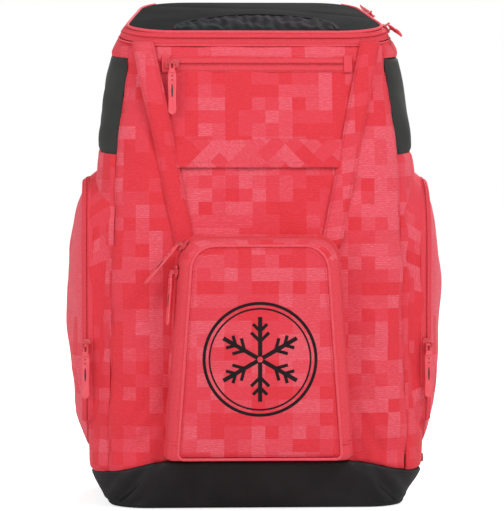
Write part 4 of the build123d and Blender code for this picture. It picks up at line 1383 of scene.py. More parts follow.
    def base(self) -> None:
        """The black base: wall, rounded foot and underside in one."""
        s = np.linspace(-5.0, 5.0, 361)[:-1]
        top = SEAMS.base(s)
        rows: list[Array] = []
        outs: list[Array] = []
        foot, floor_z = 6.0, 0.3
        edge, edge_out = FORM.at(s, np.full(s.shape, foot))
        centre = np.array([0.0, -8.0, floor_z])
        for share in (0.02, 0.2, 0.4, 0.6, 0.78, 0.9):
            ring = centre + (edge - centre) * share * 0.975
            ring[:, 2] = floor_z
            rows.append(ring)
            outs.append(alike((0.0, 0.0, -1.0), len(s)))
        for angle in (0, 22, 45, 68, 90):
            lean = math.radians(angle)
            inward = edge_out * np.array([1.0, 1.0, 0.0])
            ring = edge - inward * (1 - math.sin(lean)) * (foot - floor_z)
            ring[:, 2] = foot - math.cos(lean) * (foot - floor_z)
            rows.append(ring)
            outs.append(unit(inward * math.sin(lean) + np.array([0.0, 0.0, -math.cos(lean)])))
        wall = spread(46.0, 2.6, (0.9, 2.0))
        for share in wall[1:]:
            points, normals = FORM.at(s, foot + (top - foot) * share)
            rows.append(points)
            outs.append(normals)
        points, normals = np.stack(rows), np.stack(outs)
        run = along(points[-1])
        across = np.append(run, run[-1] + (run[1] - run[0]))
        up = along(points[:, 0])
        flat = np.stack(np.broadcast_arrays(across[None, :], up[:, None]), axis=-1)
        patch = Patch(points, normals, flat, loop=True, pole=0)
        lift = np.zeros(points.shape[:2])
        lift[-1], lift[-2], lift[-3] = -1.6, -0.7, 0.2
        low_corner, high_corner = np.array([153.0, -104.0, 8.0]), np.array([106.0, -146.0, 50.5])
        for sign in (-1, 1):
            a, b = low_corner * [sign, 1, 1], high_corner * [sign, 1, 1]
            line = b - a
            t = np.clip(((points - a) @ line) / (line @ line), -0.15, 1.1)
            d = np.linalg.norm((points - (a + t[..., None] * line))[..., [0, 2]], axis=-1)
            front = points[..., 1] < -70
            groove = -2.4 * np.exp(-((d / 3.4) ** 2)) + 2.2 * np.exp(-((d / 10.0) ** 2))
            lift += np.where(front, groove, 0.0)
            out_x = sign * points[..., 0]
            outer = ease((out_x - 116.0) / 14.0) * ease((168.0 - out_x) / 16.0)
            near = np.exp(-((d / 30.0) ** 2)) * front * outer
            lift += near * 2.1 * np.sin(points[..., 2] / 5.2 + out_x / 4.4)
        wall_only = ease((points[..., 2] - 4.0) / 8.0)
        patch.move((lift + Rumple(71, 44.0).at(points) * 0.9) * wall_only)
        sew_sheet("base_tub_cloth", patch, ("black", "black"), self.backing, ["base_tub"])
        line = np.linspace(-2.9, 2.9, 400)
        path, normals = FORM.at(line, SEAMS.base(line) - 4.0, 0.35)
        ROWS.add("pack", "black_stitch", path, normals)
        self.corner_seams()

    def corner_seams(self) -> None:
        """The slanting seam across each front corner of the base, and the rivet beside the right one."""
        seams = []
        for sign in (-1, 1):
            share = np.linspace(0.0, 1.0, 40)
            z = 49.5 + (7.0 - 49.5) * share
            x = sign * (104.0 + 46.0 * share)
            path, outs = FORM.front_at(x, z, 0.15)
            seams.append(tube(f"base_seam_{sign}", path, outs, circle_profile(0.95, sides=8)))
            across = unit(np.cross(outs, tangents(path)))
            for w in (-2.9, 2.9):
                ROWS.add("pack", "black_stitch", path + across * w + outs * 0.5, outs)
        hand_over(dress(joined("base_corner_seams", seams), "binding"), "pack")
        spot, out = FORM.at(np.array([1.96]), np.array([50.0]))
        steps = np.array([-2.0, 0.7, 1.3, 1.75, 1.9, 1.95])[:, None]
        path = spot + out * steps
        side_way = unit(np.cross(out[0], np.array([0.0, 0.0, 1.0])))
        head = tube(
            "corner_rivet_head", path, alike(side_way, 6), circle_profile(5.0, sides=24),
            scale=np.array([1.0, 1.0, 0.93, 0.8, 0.72, 0.3]),
        )
        hand_over(dress(head, "rivet"), "pack", ["corner_rivet"])

    def build(self) -> None:
        """Builds the whole shell."""
        self.front()
        for side in Side:
            self.flanks(side)
        self.back()
        self.base()


# ------------------------------------------------------------------ zips
@dataclass
class ZipRun:
    """One zip: two woven tapes that meet at a line of coil, each on its own body."""

    name: str
    path: Array
    outs: Array
    wide: float = 6.3
    lift: float = 0.0

    def tape(self, sign: int) -> bpy.types.Object:
        """One tape, on the left of the path for +1 and on its right for -1."""
        top = [(0.30, 0.95), (1.0, 1.45), (2.2, 1.5), (3.1, 1.1), (4.2, 0.75), (5.6, 0.62), (self.wide, 0.15)]
        inner = [(0.30, -0.5)] if sign > 0 else [(-2.6, -1.5), (-2.6, -0.75), (0.30, -0.6)]
        profile = [(sign * a, h + self.lift) for a, h in (*inner, *top, (self.wide, -1.5))]
        return tube(self.name, self.path, self.outs, profile)

    def rows(self, sign: int, body: str) -> None:
        """The coil and the stitch row of one tape."""
        across = unit(np.cross(self.outs, tangents(self.path))) * sign
        ROWS.add(body, "coil", self.path + across * 1.25 + self.outs * (1.55 + self.lift), self.outs, 2.0)
        seam = self.path + across * (self.wide - 1.9) + self.outs * (0.85 + self.lift)
        ROWS.add(body, "stitch", seam, self.outs)

    def half(self, sign: int, body: str, node: str, name: str = "") -> None:
        """One tape with its rows, handed to its body."""
        tape = dress(self.tape(sign), "tape")
        tape.name = f"{name or node}_tape"
        self.rows(sign, body)
        hand_over(tape, body, [node])


@dataclass
class Lid:
    """The black lid with its half-moon of gathered net, its piping and both halves of its zip."""

    wall: float = 6.4
    crown: float = 5.5
    mesh_half: float = 88.0
    mesh_long: float = 74.0
    mesh_margin: float = 16.0

    def surface(self, x: Array, y: Array) -> Array:
        """Height of the lid's top face."""
        half, _, back, _ = FORM.section(FORM.lid_plane(y))
        across = np.clip(np.abs(x) / (half + 4), 0, 1)
        deep = np.clip((y + 108.0) / (back + 108.0), 0, 1)
        dome = (1 - across ** 2.6) * np.clip(1 - np.abs(2 * deep - 1) ** 3.2, 0, 1)
        sag = 2.2 * np.exp(-(((x - 35) * 0.35 + (y - 30) * 0.94) / 9.0) ** 2) * (across < 0.95)
        waves = Rumple(81, 120.0).at(np.stack([x, y, 0 * x], axis=-1)) * 1.1 * dome
        return FORM.lid_plane(y) + self.wall + 0.3 + self.crown * dome + waves - sag * dome

    def panel(self) -> None:
        """The lid's black top."""
        s = np.linspace(-5.0, 5.0, 321)[:-1]
        edge, outs = FORM.at(s, FORM.lid_line(s, self.wall - 0.2), 0.0)
        centre = np.array([0.0, 8.0])
        rows = []
        for share in (
            0.03, 0.12, 0.22, 0.32, 0.42, 0.52, 0.62, 0.70, 0.78, 0.85, 0.90, 0.94, 0.965, 0.985, 0.996,
        ):
            flat = centre + (edge[:, :2] - centre) * share
            rows.append(np.column_stack([flat, self.surface(flat[:, 0], flat[:, 1])]))
        rows.append(edge)
        for drop in (1.5, 3.5, 5.6):
            rows.append(FORM.at(s, FORM.lid_line(s, self.wall - 0.2 - drop), -0.7)[0])
        points = np.stack(rows[::-1])
        normals = np.tile([0.0, 0.0, 1.0], (*points.shape[:2], 1))
        flat = np.stack(np.broadcast_arrays(points[..., 0], points[..., 1]), axis=-1)
        flat = np.concatenate([flat, flat[:, :1]], axis=1)
        patch = Patch(points, normals, flat, loop=True, pole=len(rows) - 1)
        area = abs(enclosed(points[4])) * MM * MM
        sew_sheet(
            "lid_panel_cloth", patch, ("black_lid", "lining"), 2.6, ["lid_panel"], "lid",
            area=area,
        )

    def net(self) -> None:
        """The half-moon of gathered net, and the binding round its arch."""
        front = FORM.lid_y + self.mesh_margin - 13.0
        turn = np.linspace(0.0, math.pi, 181)
        grow = spread(self.mesh_long, 3.0, (0.8, 1.8, 3.2))
        ripple = Rumple(83, 26.0)
        points = []
        for share in grow:
            x = self.mesh_half * np.cos(turn)
            y = front + self.mesh_long * np.sin(turn) ** 0.8 * share
            body = ease(np.minimum(share, 1 - share) / 0.12) * ease(np.sin(turn) / 0.25)
            near, far = (ripple.at(np.stack([x, y, 0 * x + z], axis=-1)) for z in (0, 9))
            wave = np.sin(x / 1.95 + 1.3 * np.sin(x / 17.0) + 0.8 * near)
            lift = 1.0 + body * (1.6 + 0.75 * wave + 0.7 * far)
            points.append(np.column_stack([x, y, self.surface(x, y) + lift]))
        grid = np.stack(points)[:, ::-1]
        normals = np.tile([0.0, 0.0, 1.0], (*grid.shape[:2], 1))
        flat = np.stack([grid[..., 0] * 1.35, grid[..., 1]], axis=-1)
        sew_sheet(
            "lid_net_cloth", Patch(grid, normals, flat), ("gathered", "gathered"), 0.7, ["lid_mesh"],
            "lid",
        )
        x = self.mesh_half * np.cos(turn)
        y = front + self.mesh_long * np.sin(turn) ** 0.8
        arch = np.column_stack([x, y, self.surface(x, y) + 1.0])
        rim = evenly(arch, alike((0.0, 0.0, 1.0), len(arch)), 2.5)
        binding = tube("lid_net_binding", *rim, slab_profile(4.2, 1.5, 0.6))
        hand_over(dress(binding, "binding"), "lid")

    def edge(self) -> None:
        """The piping round the lid's top edge, and the zip."""
        s = np.linspace(-FORM.zip_end, FORM.zip_end, 420)
        line, outs = FORM.at(s, FORM.lid_line(s, 0.0))
        line, outs = evenly(line, outs, 2.4)
        zip_run = ZipRun("lid_zip", line, outs)
        zip_run.half(1, "lid", "lid_zip_upper")
        zip_run.half(-1, "pack", "lid_zip_lower")
        for name, body, rise, lift, profile in (
            ("lid_piping", "lid", self.wall + 0.5, -0.2, circle_profile(1.75, 0.3)),
            ("lid_zip_facing", "pack", -self.wall - 0.5, -0.1, circle_profile(1.1, sides=8)),
        ):
            cord = tube(name, *evenly(*FORM.at(s, FORM.lid_line(s, rise), lift), 2.4), profile)
            hand_over(dress(cord, "piping"), body)

    def hinge_cover(self) -> None:
        """The strip behind the lid's hinge."""
        x = np.linspace(-70.0, 70.0, 60)
        z = float(FORM.lid_plane(np.array(125.0)))
        path = np.column_stack([x, np.full(60, 124.6), np.full(60, z - 13.0)])
        strip = tube("lid_hinge_strip", path, alike((0.0, 1.0, 0.0), 60), slab_profile(9.0, 1.2, 0.5))
        hand_over(dress(strip, "binding"), "pack")

    def build(self) -> None:
        """Builds the lid."""
        self.panel()
        self.net()
        self.edge()
        self.hinge_cover()


# ------------------------------------------------------------------ front dress
@dataclass
class FrontDress:
    """What is sewn on the front above the pocket: straps, band and the upper pocket's zip."""

    strap_wide: float = 22.0
    strap_thick: float = 5.0
    foot: tuple[float, float] = (79.0, 287.0)
    top: tuple[float, float] = (121.0, 496.0)
    low_z: float = 284.0
    high_z: float = 503.5
    band_low: float = 368.0
    band_high: float = 399.0
    zip_z: float = 480.0
    zip_half: float = 101.0

    def strap_x(self, z: Array) -> Array:
        """Where a strap's centreline is at a height."""
        share = (z - self.foot[1]) / (self.top[1] - self.foot[1])
        return self.foot[0] + (self.top[0] - self.foot[0]) * share

    def strap(self, side: Side) -> None:
        """One slanting fabric strap, its edges stitched."""
        z = np.linspace(self.low_z, self.high_z, 96)
        lean = math.atan2(self.top[0] - self.foot[0], self.top[1] - self.foot[1])
        half = self.strap_wide / 2
        proud = 7.5 if side is Side.LEFT else 0.8
        uneven = Rumple(7 + side.value, 60.0).at(np.column_stack([z, 0 * z, 0 * z])) * 0.5
        raised = proud * np.exp(-(((z - 438.0) / 42.0) ** 2)) + uneven
        spots = np.array([-1.0, -0.97, -0.9, -0.8, -0.6, -0.3, 0.0, 0.3, 0.6, 0.8, 0.9, 0.97, 1.0])
        top = [(w * half, 0.9 + (self.strap_thick - 1.2) * (1 - abs(w) ** 5) ** 0.5) for w in spots]
        dent = [(w, h - 0.7 * math.exp(-(((abs(w) - half + 2.6) / 0.8) ** 2))) for w, h in top]
        outline = dent[::-1] + [(-half + 1, 0.3), (0.0, 0.3), (half - 1, 0.3)]
        grid, normals = [], []
        for w, h in outline:
            x = side.value * (self.strap_x(z) + side.value * w / math.cos(lean))
            points, outs = FORM.front_at(x, z)
            grid.append(points + outs * (h + raised * (1.0 if h > 0.5 else 0.7))[:, None])
            normals.append(outs)
        rows = np.stack(grid)
        count = rows.shape[1]
        faces, flat = [], []
        girth = along(np.vstack([np.array(outline), outline[:1]]))
        for r in range(len(outline)):
            above = (r + 1) % len(outline)
            for c in range(count - 1):
                faces.append([r * count + c, above * count + c, above * count + c + 1, r * count + c + 1])
                flat.extend((girth[r + i], z[c + j]) for i, j in ((0, 0), (1, 0), (1, 1), (0, 1)))
        for column, flip in ((0, True), (count - 1, False)):
            ring = [r * count + column for r in range(len(outline))]
            faces.append(ring[::-1] if flip else ring)
            flat.extend((0.0, z[column]) for _ in ring)
        flat_array = np.array(flat) + np.array([17.0 * side.value, 4.0])
        obj = mesh_object(f"front_strap_{side.word}_cloth", rows.reshape(-1, 3), faces, flat_array)
        face_outwards(obj)
        # painted shade: the left strap takes a darker copy of the cloth
        dress(obj, "blocks_strap" if side is Side.RIGHT else "blocks_strap_left")
        wide, long = self.strap_wide * MM, (self.high_z - self.low_z) * MM
        hand_over(obj, "pack", [f"front_strap_{side.word}"], cut=(wide, long, wide * long))
        for w in (-half + 2.6, half - 2.6):
            x = side.value * (self.strap_x(z) + side.value * w / math.cos(lean))
            points, outs = FORM.front_at(x, z)
            row = points + outs * (self.strap_thick - 0.75 + raised)[:, None]
            ROWS.add("pack", "stitch", row, outs)

    def band_rows(self) -> tuple[float, float]:
        """Heights of the cross band's two stitch rows."""
        return self.band_low + 6.0, self.band_high - 4.6

    def band(self) -> None:
        """The cross band: open below, stitched along both edges."""
        def inner(z: Array) -> Array:
            return FORM.s_of_x(self.strap_x(z) - self.strap_wide / 2 + 3.0, z)

        patch = shell_patch(lambda z: -inner(z), inner, level(self.band_low), level(self.band_high), 2.8)
        z = patch.points[..., 2]
        rise = 1.0 + 2.4 * ease((self.band_high - z) / 2.4)
        hem = 0.9 * np.exp(-(((z - self.band_low - 3.2) / 3.0) ** 2))
        for row in self.band_rows():
            hem = hem - np.exp(-(((z - row) / 0.9) ** 2))
        patch.move(rise + hem + 0.5 * ease((self.band_low + 12 - z) / 12))
        patch.rumple(91, 40.0, 0.45)
        patch.flat = patch.flat + np.array([4.0, 9.0])
        sew_sheet("front_band_cloth", patch, ("blocks_band", "lining"), 1.5, ["front_band"])
        for z_row in self.band_rows():
            x = np.linspace(-1, 1, 90) * (float(self.strap_x(np.array(z_row))) - 10.0)
            z = np.full(x.shape, z_row)
            points, outs = FORM.front_at(x, z, 2.9)
            ROWS.add("pack", "stitch", points, outs)

    def upper_zip(self) -> None:
        """The upper pocket's zip: two tapes, coil, end tabs."""
        x = np.linspace(-self.zip_half, self.zip_half, 120)
        z = np.full(x.shape, self.zip_z)
        path, outs = FORM.front_at(x, z)
        run = ZipRun("upper_zip", path, outs, 8.8, 0.15)
        tapes = [run.tape(1), run.tape(-1)]
        for sign in (1, -1):
            run.rows(sign, "pack")
        tabs = []
        for sign in (-1, 1):
            spots = np.linspace(-9.2, 9.2, 12)
            tab_z = self.zip_z + spots
            tab_x = np.full(spots.shape, sign * (self.zip_half - 2.5))
            points, normals = FORM.front_at(tab_x, tab_z, 1.4)
            tabs.append(tube(f"upper_zip_tab_{sign}", points, normals, slab_profile(9.0, 1.3, 0.6)))
        obj = joined("upper_zip_tapes", tapes + tabs)
        dress(obj, "tape")
        hand_over(obj, "pack", ["upper_zip"])

    def build(self) -> None:
        """Builds what is sewn on the front."""
        for side in Side:
            self.strap(side)
        self.band()
        self.upper_zip()


# ------------------------------------------------------------------ front pocket
@dataclass
class FrontPocket:
    """The domed front pocket: gusset, door, zip and a generic printed mark."""

    low_z: float = 58.0
    high_z: float = 286.0
    low_half: float = 92.0
    high_half: float = 76.0
    radius: float = 26.0
    low_radius: float = 6.0
    split_y: float = -166.0
    front_y: float = -183.0
    root_y: float = -128.0
    split_out: float = 7.0
    zip_low: float = 75.0
    seam_z: float = 76.0
    rim_shade_z: float = 272.0
    puff: float = 3.4

    def outline(self, out: float, above: float | None = None) -> Array:
        """The pocket's outline, grown outwards, as x and z.

        Args:
            out: how far the sides grow.
            above: how far the top grows, where it differs.
        """
        low, high = self.low_z - out / 4, self.high_z + (out if above is None else above)
        corners = [
            (self.low_half + out, low), (self.high_half + out, high),
            (-self.high_half - out, high), (-self.low_half - out, low),
        ]
        radii = [self.low_radius, self.radius, self.radius, self.low_radius]
        return rounded(corners, radii, 40, 14)

    def ring(self, out: float, y: float, above: float | None = None) -> Array:
        """The outline at a depth, as points."""
        flat = self.outline(out, above)
        return np.column_stack([flat[:, 0], np.full(len(flat), y), flat[:, 1]])

    def band_patch(self, stations: Sequence[tuple[float, ...]]) -> Patch:
        """Rings from the back to the front as one closed band."""
        return closed_band([self.ring(*station) for station in stations])

    def gusset(self) -> None:
        """The soft wall between the shell and the zip."""
        patch = self.band_patch([
            (14.0, self.root_y), (11.4, -142.0), (10.2, -149.0), (9.2, -155.0), (8.2, -159.5), (7.1, -165.4)])
        patch.rumple(101, 30.0, 0.6)
        # painted shade: the gusset takes the darker copy of the cloth, for the shadow beside the pocket
        sew_sheet("pocket_gusset_cloth", patch, ("blocks_dark", "lining"), 2.4, ["pocket_gusset"])

    def face_depth(self, x: Array, z: Array) -> Array:
        """How far forward the pocket's face stands, as y."""
        low, high = self.low_z + 4.0, self.high_z + 0.6
        half = self.face_half(z)
        d = np.minimum(np.maximum(half - np.abs(x), 0), np.maximum(np.minimum(z - low, high - z), 0))
        swell = self.puff * (1 - np.exp(-d / 22.0))
        spot = np.stack([x, 0 * x, z], axis=-1)
        return self.front_y - 0.3 - swell - 0.55 * Rumple(111, 70.0).at(spot) * (1 - np.exp(-d / 12.0))

    def face_half(self, z: Array) -> Array:
        """Half the width of the pocket's face at a height."""
        inset, r = 4.0, self.radius - 1.0
        high = self.high_z + 0.6
        share = (z - self.low_z) / (self.high_z - self.low_z)
        straight = self.low_half + (self.high_half - self.low_half) * share - inset
        near = np.clip(z - (high - r), 0, r)
        return straight - (r - np.sqrt(np.maximum(r * r - near * near, 0)))

    def door(self) -> None:
        """The door: rim, sewn edge and swelling face."""
        stations = [
            (7.0, -166.6, 7.0), (6.7, -168.5, 6.9), (5.9, -171.5, 6.5), (4.8, -174.4, 5.9),
            (3.4, -177.2, 5.1), (1.6, -179.8, 4.0), (-0.4, -181.6, 2.8), (-2.6, -182.7, 1.6),
            (-4.4, -182.9, 0.4), (-6.0, -183.0, -1.2),
        ]
        rim = self.band_patch(stations)
        rim.rumple(103, 34.0, 0.35)
        rim_obj = rim.build("pocket_rim_cloth")
        dress(rim_obj, "strip", "lining", "blocks")
        for face in rim_obj.data.polygons:
            if face.center.z > self.rim_shade_z * MM:
                face.material_index = 2
        backed(rim_obj, 2.2)
        hand_over(rim_obj, "pocket_door", ["pocket_panel"], cut=rim.cut_size())
        low, high = self.low_z + 3.0, self.high_z + 0.6
        tall = high - low
        v = np.unique(np.concatenate([spread(tall, 3.4), 1 - np.array([9.0, 12.0, 15.0, 18.0]) / tall]))
        z = (low + tall * v)[:, None]
        half = self.face_half(z)
        u = spread(2 * float(self.low_half), 3.2) * 2 - 1
        x = half * u[None, :]
        z = z + 0 * x
        y = self.face_depth(x, z)
        edge = np.minimum((half - np.abs(x)), np.minimum(z - low, high - z))
        y = y + 1.6 * np.exp(-((edge / 2.4) ** 2))
        points = np.stack([x, y, z], axis=-1)
        normals = np.tile([0.0, -1.0, 0.0], (*x.shape, 1))
        patch = Patch(points, normals, np.stack([x + 9.0, z + 3.0], axis=-1))
        sew_sheet("pocket_face_cloth", patch, ("blocks", "lining"), 2.4, body="pocket_door")
        path = self.ring(-4.6, self.front_y - 0.5, 0.2)
        outs = alike((0.0, -1.0, 0.0), len(path))
        piping = tube("pocket_piping", path, outs, circle_profile(1.55), closed=True)
        hand_over(dress(piping, "piping"), "pocket_door")
        row = self.ring(-8.4, self.front_y - 0.9, -3.6)
        row[:, 1] = self.face_depth(row[:, 0], row[:, 2]) - 0.15
        row = np.vstack([row, row[:1]])
        ROWS.add("pocket_door", "stitch", row, alike((0.0, -1.0, 0.0), len(row)))

    def zip(self) -> None:
        """The zip round the sides and the top."""
        path = self.ring(self.split_out, self.split_y)
        path = path[path[:, 2] > self.zip_low]
        lean = (math.atan(7 / 17) + math.atan(7 / 38)) / 2
        outward = unit(np.cross(tangents(path), (0.0, -1.0, 0.0)))
        outs = unit(outward * math.cos(lean) + np.array([0.0, -math.sin(lean), 0.0]))
        path, outs = evenly(path, outs, 2.0)
        run = ZipRun("pocket_zip", path, outs)
        run.half(1, "pocket_door", "pocket_zip_door")
        run.half(-1, "pack", "pocket_zip_body")
        self.cross_seam()

    def cross_seam(self) -> None:
        """The seam across each smooth strip, just above the pocket's foot."""
        seams = []
        for sign in (-1, 1):
            turn = np.linspace(0.0, 1.0, 12)
            out = 7.2 - 11.0 * turn ** 1.4
            y = -166.0 - 17.2 * np.sin(turn * math.pi / 2) ** 0.9
            share = (self.seam_z - self.low_z) / (self.high_z - self.low_z)
            half = self.low_half + (self.high_half - self.low_half) * share
            path = np.column_stack([sign * (half + out), y, np.full(12, self.seam_z)])
            outs = unit(np.cross(tangents(path), (0.0, 0.0, float(sign))))
            outs = np.where((outs[:, :1] * sign) + (-outs[:, 1:2]) < 0, -outs, outs)
            seams.append(tube(f"cross_seam_{sign}", path, outs, slab_profile(2.4, 1.1, 0.4)))
        hand_over(dress(joined("pocket_cross_seams", seams), "strip"), "pocket_door")

    def mark(self) -> None:
        """A generic round printed mark: two rings and a plain six-armed snowflake."""
        centre_z, radius = 166.0, 61.0
        spots: list[tuple[float, float]] = []
        faces: list[list[int]] = []

        def ring(r_in: float, r_out: float) -> None:
            """Adds a flat ring."""
            count, first = 120, len(spots)
            for i in range(count):
                angle = 2 * math.pi * i / count
                for r in (r_in, r_out):
                    spots.append((r * math.sin(angle), centre_z + r * math.cos(angle)))
            for i in range(count):
                j = (i + 1) % count
                a, b = first + 2 * i, first + 2 * j
                faces.append([a, a + 1, b + 1, b])

        def bar(angle: float, start: tuple[float, float], end: tuple[float, float], wide: float) -> None:
            """Adds a straight stroke in an arm's own frame, turned by the arm's angle."""
            a, b = np.array(start), np.array(end)
            aside = np.array([-(b - a)[1], (b - a)[0]]) / np.linalg.norm(b - a) * wide / 2
            steps, first = 8, len(spots)
            turn = np.array([[math.cos(angle), math.sin(angle)], [-math.sin(angle), math.cos(angle)]])
            for i in range(steps + 1):
                here = a + (b - a) * i / steps
                for spot in (here - aside, here + aside):
                    x, z = turn @ spot
                    spots.append((x, centre_z + z))
            for i in range(steps):
                k = first + 2 * i
                faces.append([k, k + 1, k + 3, k + 2])

        ring(radius - 3.2, radius)
        ring(radius - 8.2, radius - 6.4)
        for arm in range(6):
            angle = arm * math.pi / 3
            bar(angle, (0.0, 3.0), (0.0, 45.0), 4.4)
            for height, reach in ((19.0, 9.5), (30.0, 7.5)):
                bar(angle, (0.0, height), (reach, height + reach), 3.4)
                bar(angle, (0.0, height), (-reach, height + reach), 3.4)
        flat = np.array(spots)
        y = self.face_depth(flat[:, 0], flat[:, 1]) - 0.22
        obj = mesh_object("pocket_mark_print", np.column_stack([flat[:, 0], y, flat[:, 1]]), faces, None)
        self.towards_front(obj)
        modifier = obj.modifiers.new("film", "SOLIDIFY")
        modifier.thickness, modifier.offset = 0.15 * MM, -1.0
        settled(obj)
        hand_over(dress(obj, "print"), "pocket_door")

    @staticmethod
    def towards_front(obj: bpy.types.Object) -> None:
        """Turns each flat face of the print to the front."""
        mesh = obj.data
        spots = [tuple(v.co) for v in mesh.vertices]
        faces = []
        for face in mesh.polygons:
            corners = list(face.vertices)
            faces.append(corners[::-1] if face.normal.y > 0 else corners)
        mesh.clear_geometry()
        mesh.from_pydata(spots, [], faces)

    def build(self) -> None:
        """Builds the front pocket."""
        self.gusset()
        self.door()
        self.zip()
        self.mark()


# ------------------------------------------------------------------ side boot doors
@dataclass
class BootDoor:
    """One bulging side door with its gusset and its zip."""

    side: Side
    half: float = 179.0
    outs: tuple[float, ...] = (-29.0, 7.0, 19.0, 25.0)
    lows: tuple[float, ...] = (38.0, 61.0, 104.0, 160.0)
    highs: tuple[float, ...] = (384.0, 354.0, 322.0, 280.0)
    fronts: tuple[float, ...] = (-128.0, -116.0, -98.0, -66.0)
    backs: tuple[float, ...] = (70.0, 60.0, 42.0, 10.0)
    corners: tuple[float, ...] = (74.0, 66.0, 52.0, 30.0)
    split_out: float = 5.0
    row_out: float = 11.0
    zip_low: float = 92.0
    dome: float = 3.4

    def ring(self, out: float, shrink: float = 1.0, extra: float = 0.0) -> Array:
        """The door's outline at a distance from the middle plane, for this side."""
        values = (self.lows, self.highs, self.fronts, self.backs, self.corners)
        low, high, front, back, corner = (float(soft_line(out, self.outs, v, 3.0)) for v in values)
        flat = rounded([(back, low), (back, high), (front, high), (front, low)], [corner] * 4, 22, 12)
        centre = np.array([(front + back) / 2, (low + high) / 2])
        flat = centre + (flat - centre) * shrink
        points = np.column_stack([np.full(len(flat), self.half + out + extra), flat])
        if self.side is Side.LEFT:
            points[:, 0] *= -1
            points = points[::-1]
        return points

    def build(self) -> None:
        """Builds the gusset, the door and both zip halves."""
        word, sign = self.side.word, self.side.value
        away = np.array([float(sign), 0.0, 0.0])
        gusset = closed_band([self.ring(o) for o in (-20.0, -14.0, -8.0, -3.0, 1.0, 4.4)])
        gusset.rumple(121, 36.0, 0.8)
        # painted shade: the left gusset takes the darker copy of the cloth
        look = "blocks_dark" if self.side is Side.LEFT else "blocks"
        sew_sheet(f"side_gusset_{word}_cloth", gusset, (look, "lining"), 2.4, [f"side_gusset_{word}"])
        rings = [self.ring(o) for o in (5.6, 7.0, 9.0, 11.5, 14.0, 16.5, 19.0, 21.2, 23.2, 24.6)]
        shrinks = (0.94, 0.86, 0.76, 0.64, 0.50, 0.36, 0.22, 0.10, 0.03)
        rings += [self.ring(25.0, k, self.dome * (1 - k * k) ** 0.9) for k in shrinks]
        door = closed_band(rings)
        door.pole = len(rings) - 1
        flat = door.points[..., 1:]
        door.flat = np.concatenate([flat, flat[:, :1]], axis=1) + np.array([2.0 + sign, 4.0])
        door.normals[-len(shrinks):] = away
        door.rumple(131 + sign, 52.0, 1.1)
        width, length, _ = door.cut_size()
        # painted light: both doors take the brightest copy of the cloth, where the light grazes them
        sew_sheet(
            f"side_door_{word}_cloth", door, ("blocks_bright", "lining"), 2.6, [f"side_door_{word}"],
            f"door_{word}", area=0.93 * width * length,
        )
        path = self.ring(self.split_out)
        path = path[path[:, 2] > self.zip_low]
        lean = math.atan(12 / 36)
        outs = unit(unit(np.cross(tangents(path), away)) * math.cos(lean) + away * math.sin(lean))
        run = ZipRun(f"side_zip_{word}", *evenly(path, outs, 2.2))
        run.half(1, f"door_{word}", f"side_zip_door_{word}", f"side_zip_door_{word}_{word}")
        run.half(-1, "pack", "side_zips_body", f"side_zips_body_{word}")
        row = self.ring(self.row_out)
        row = np.vstack([row, row[:1]])
        faces = unit(np.cross(tangents(row), away))
        ROWS.add(f"door_{word}", "stitch", row + faces * 0.9, faces)


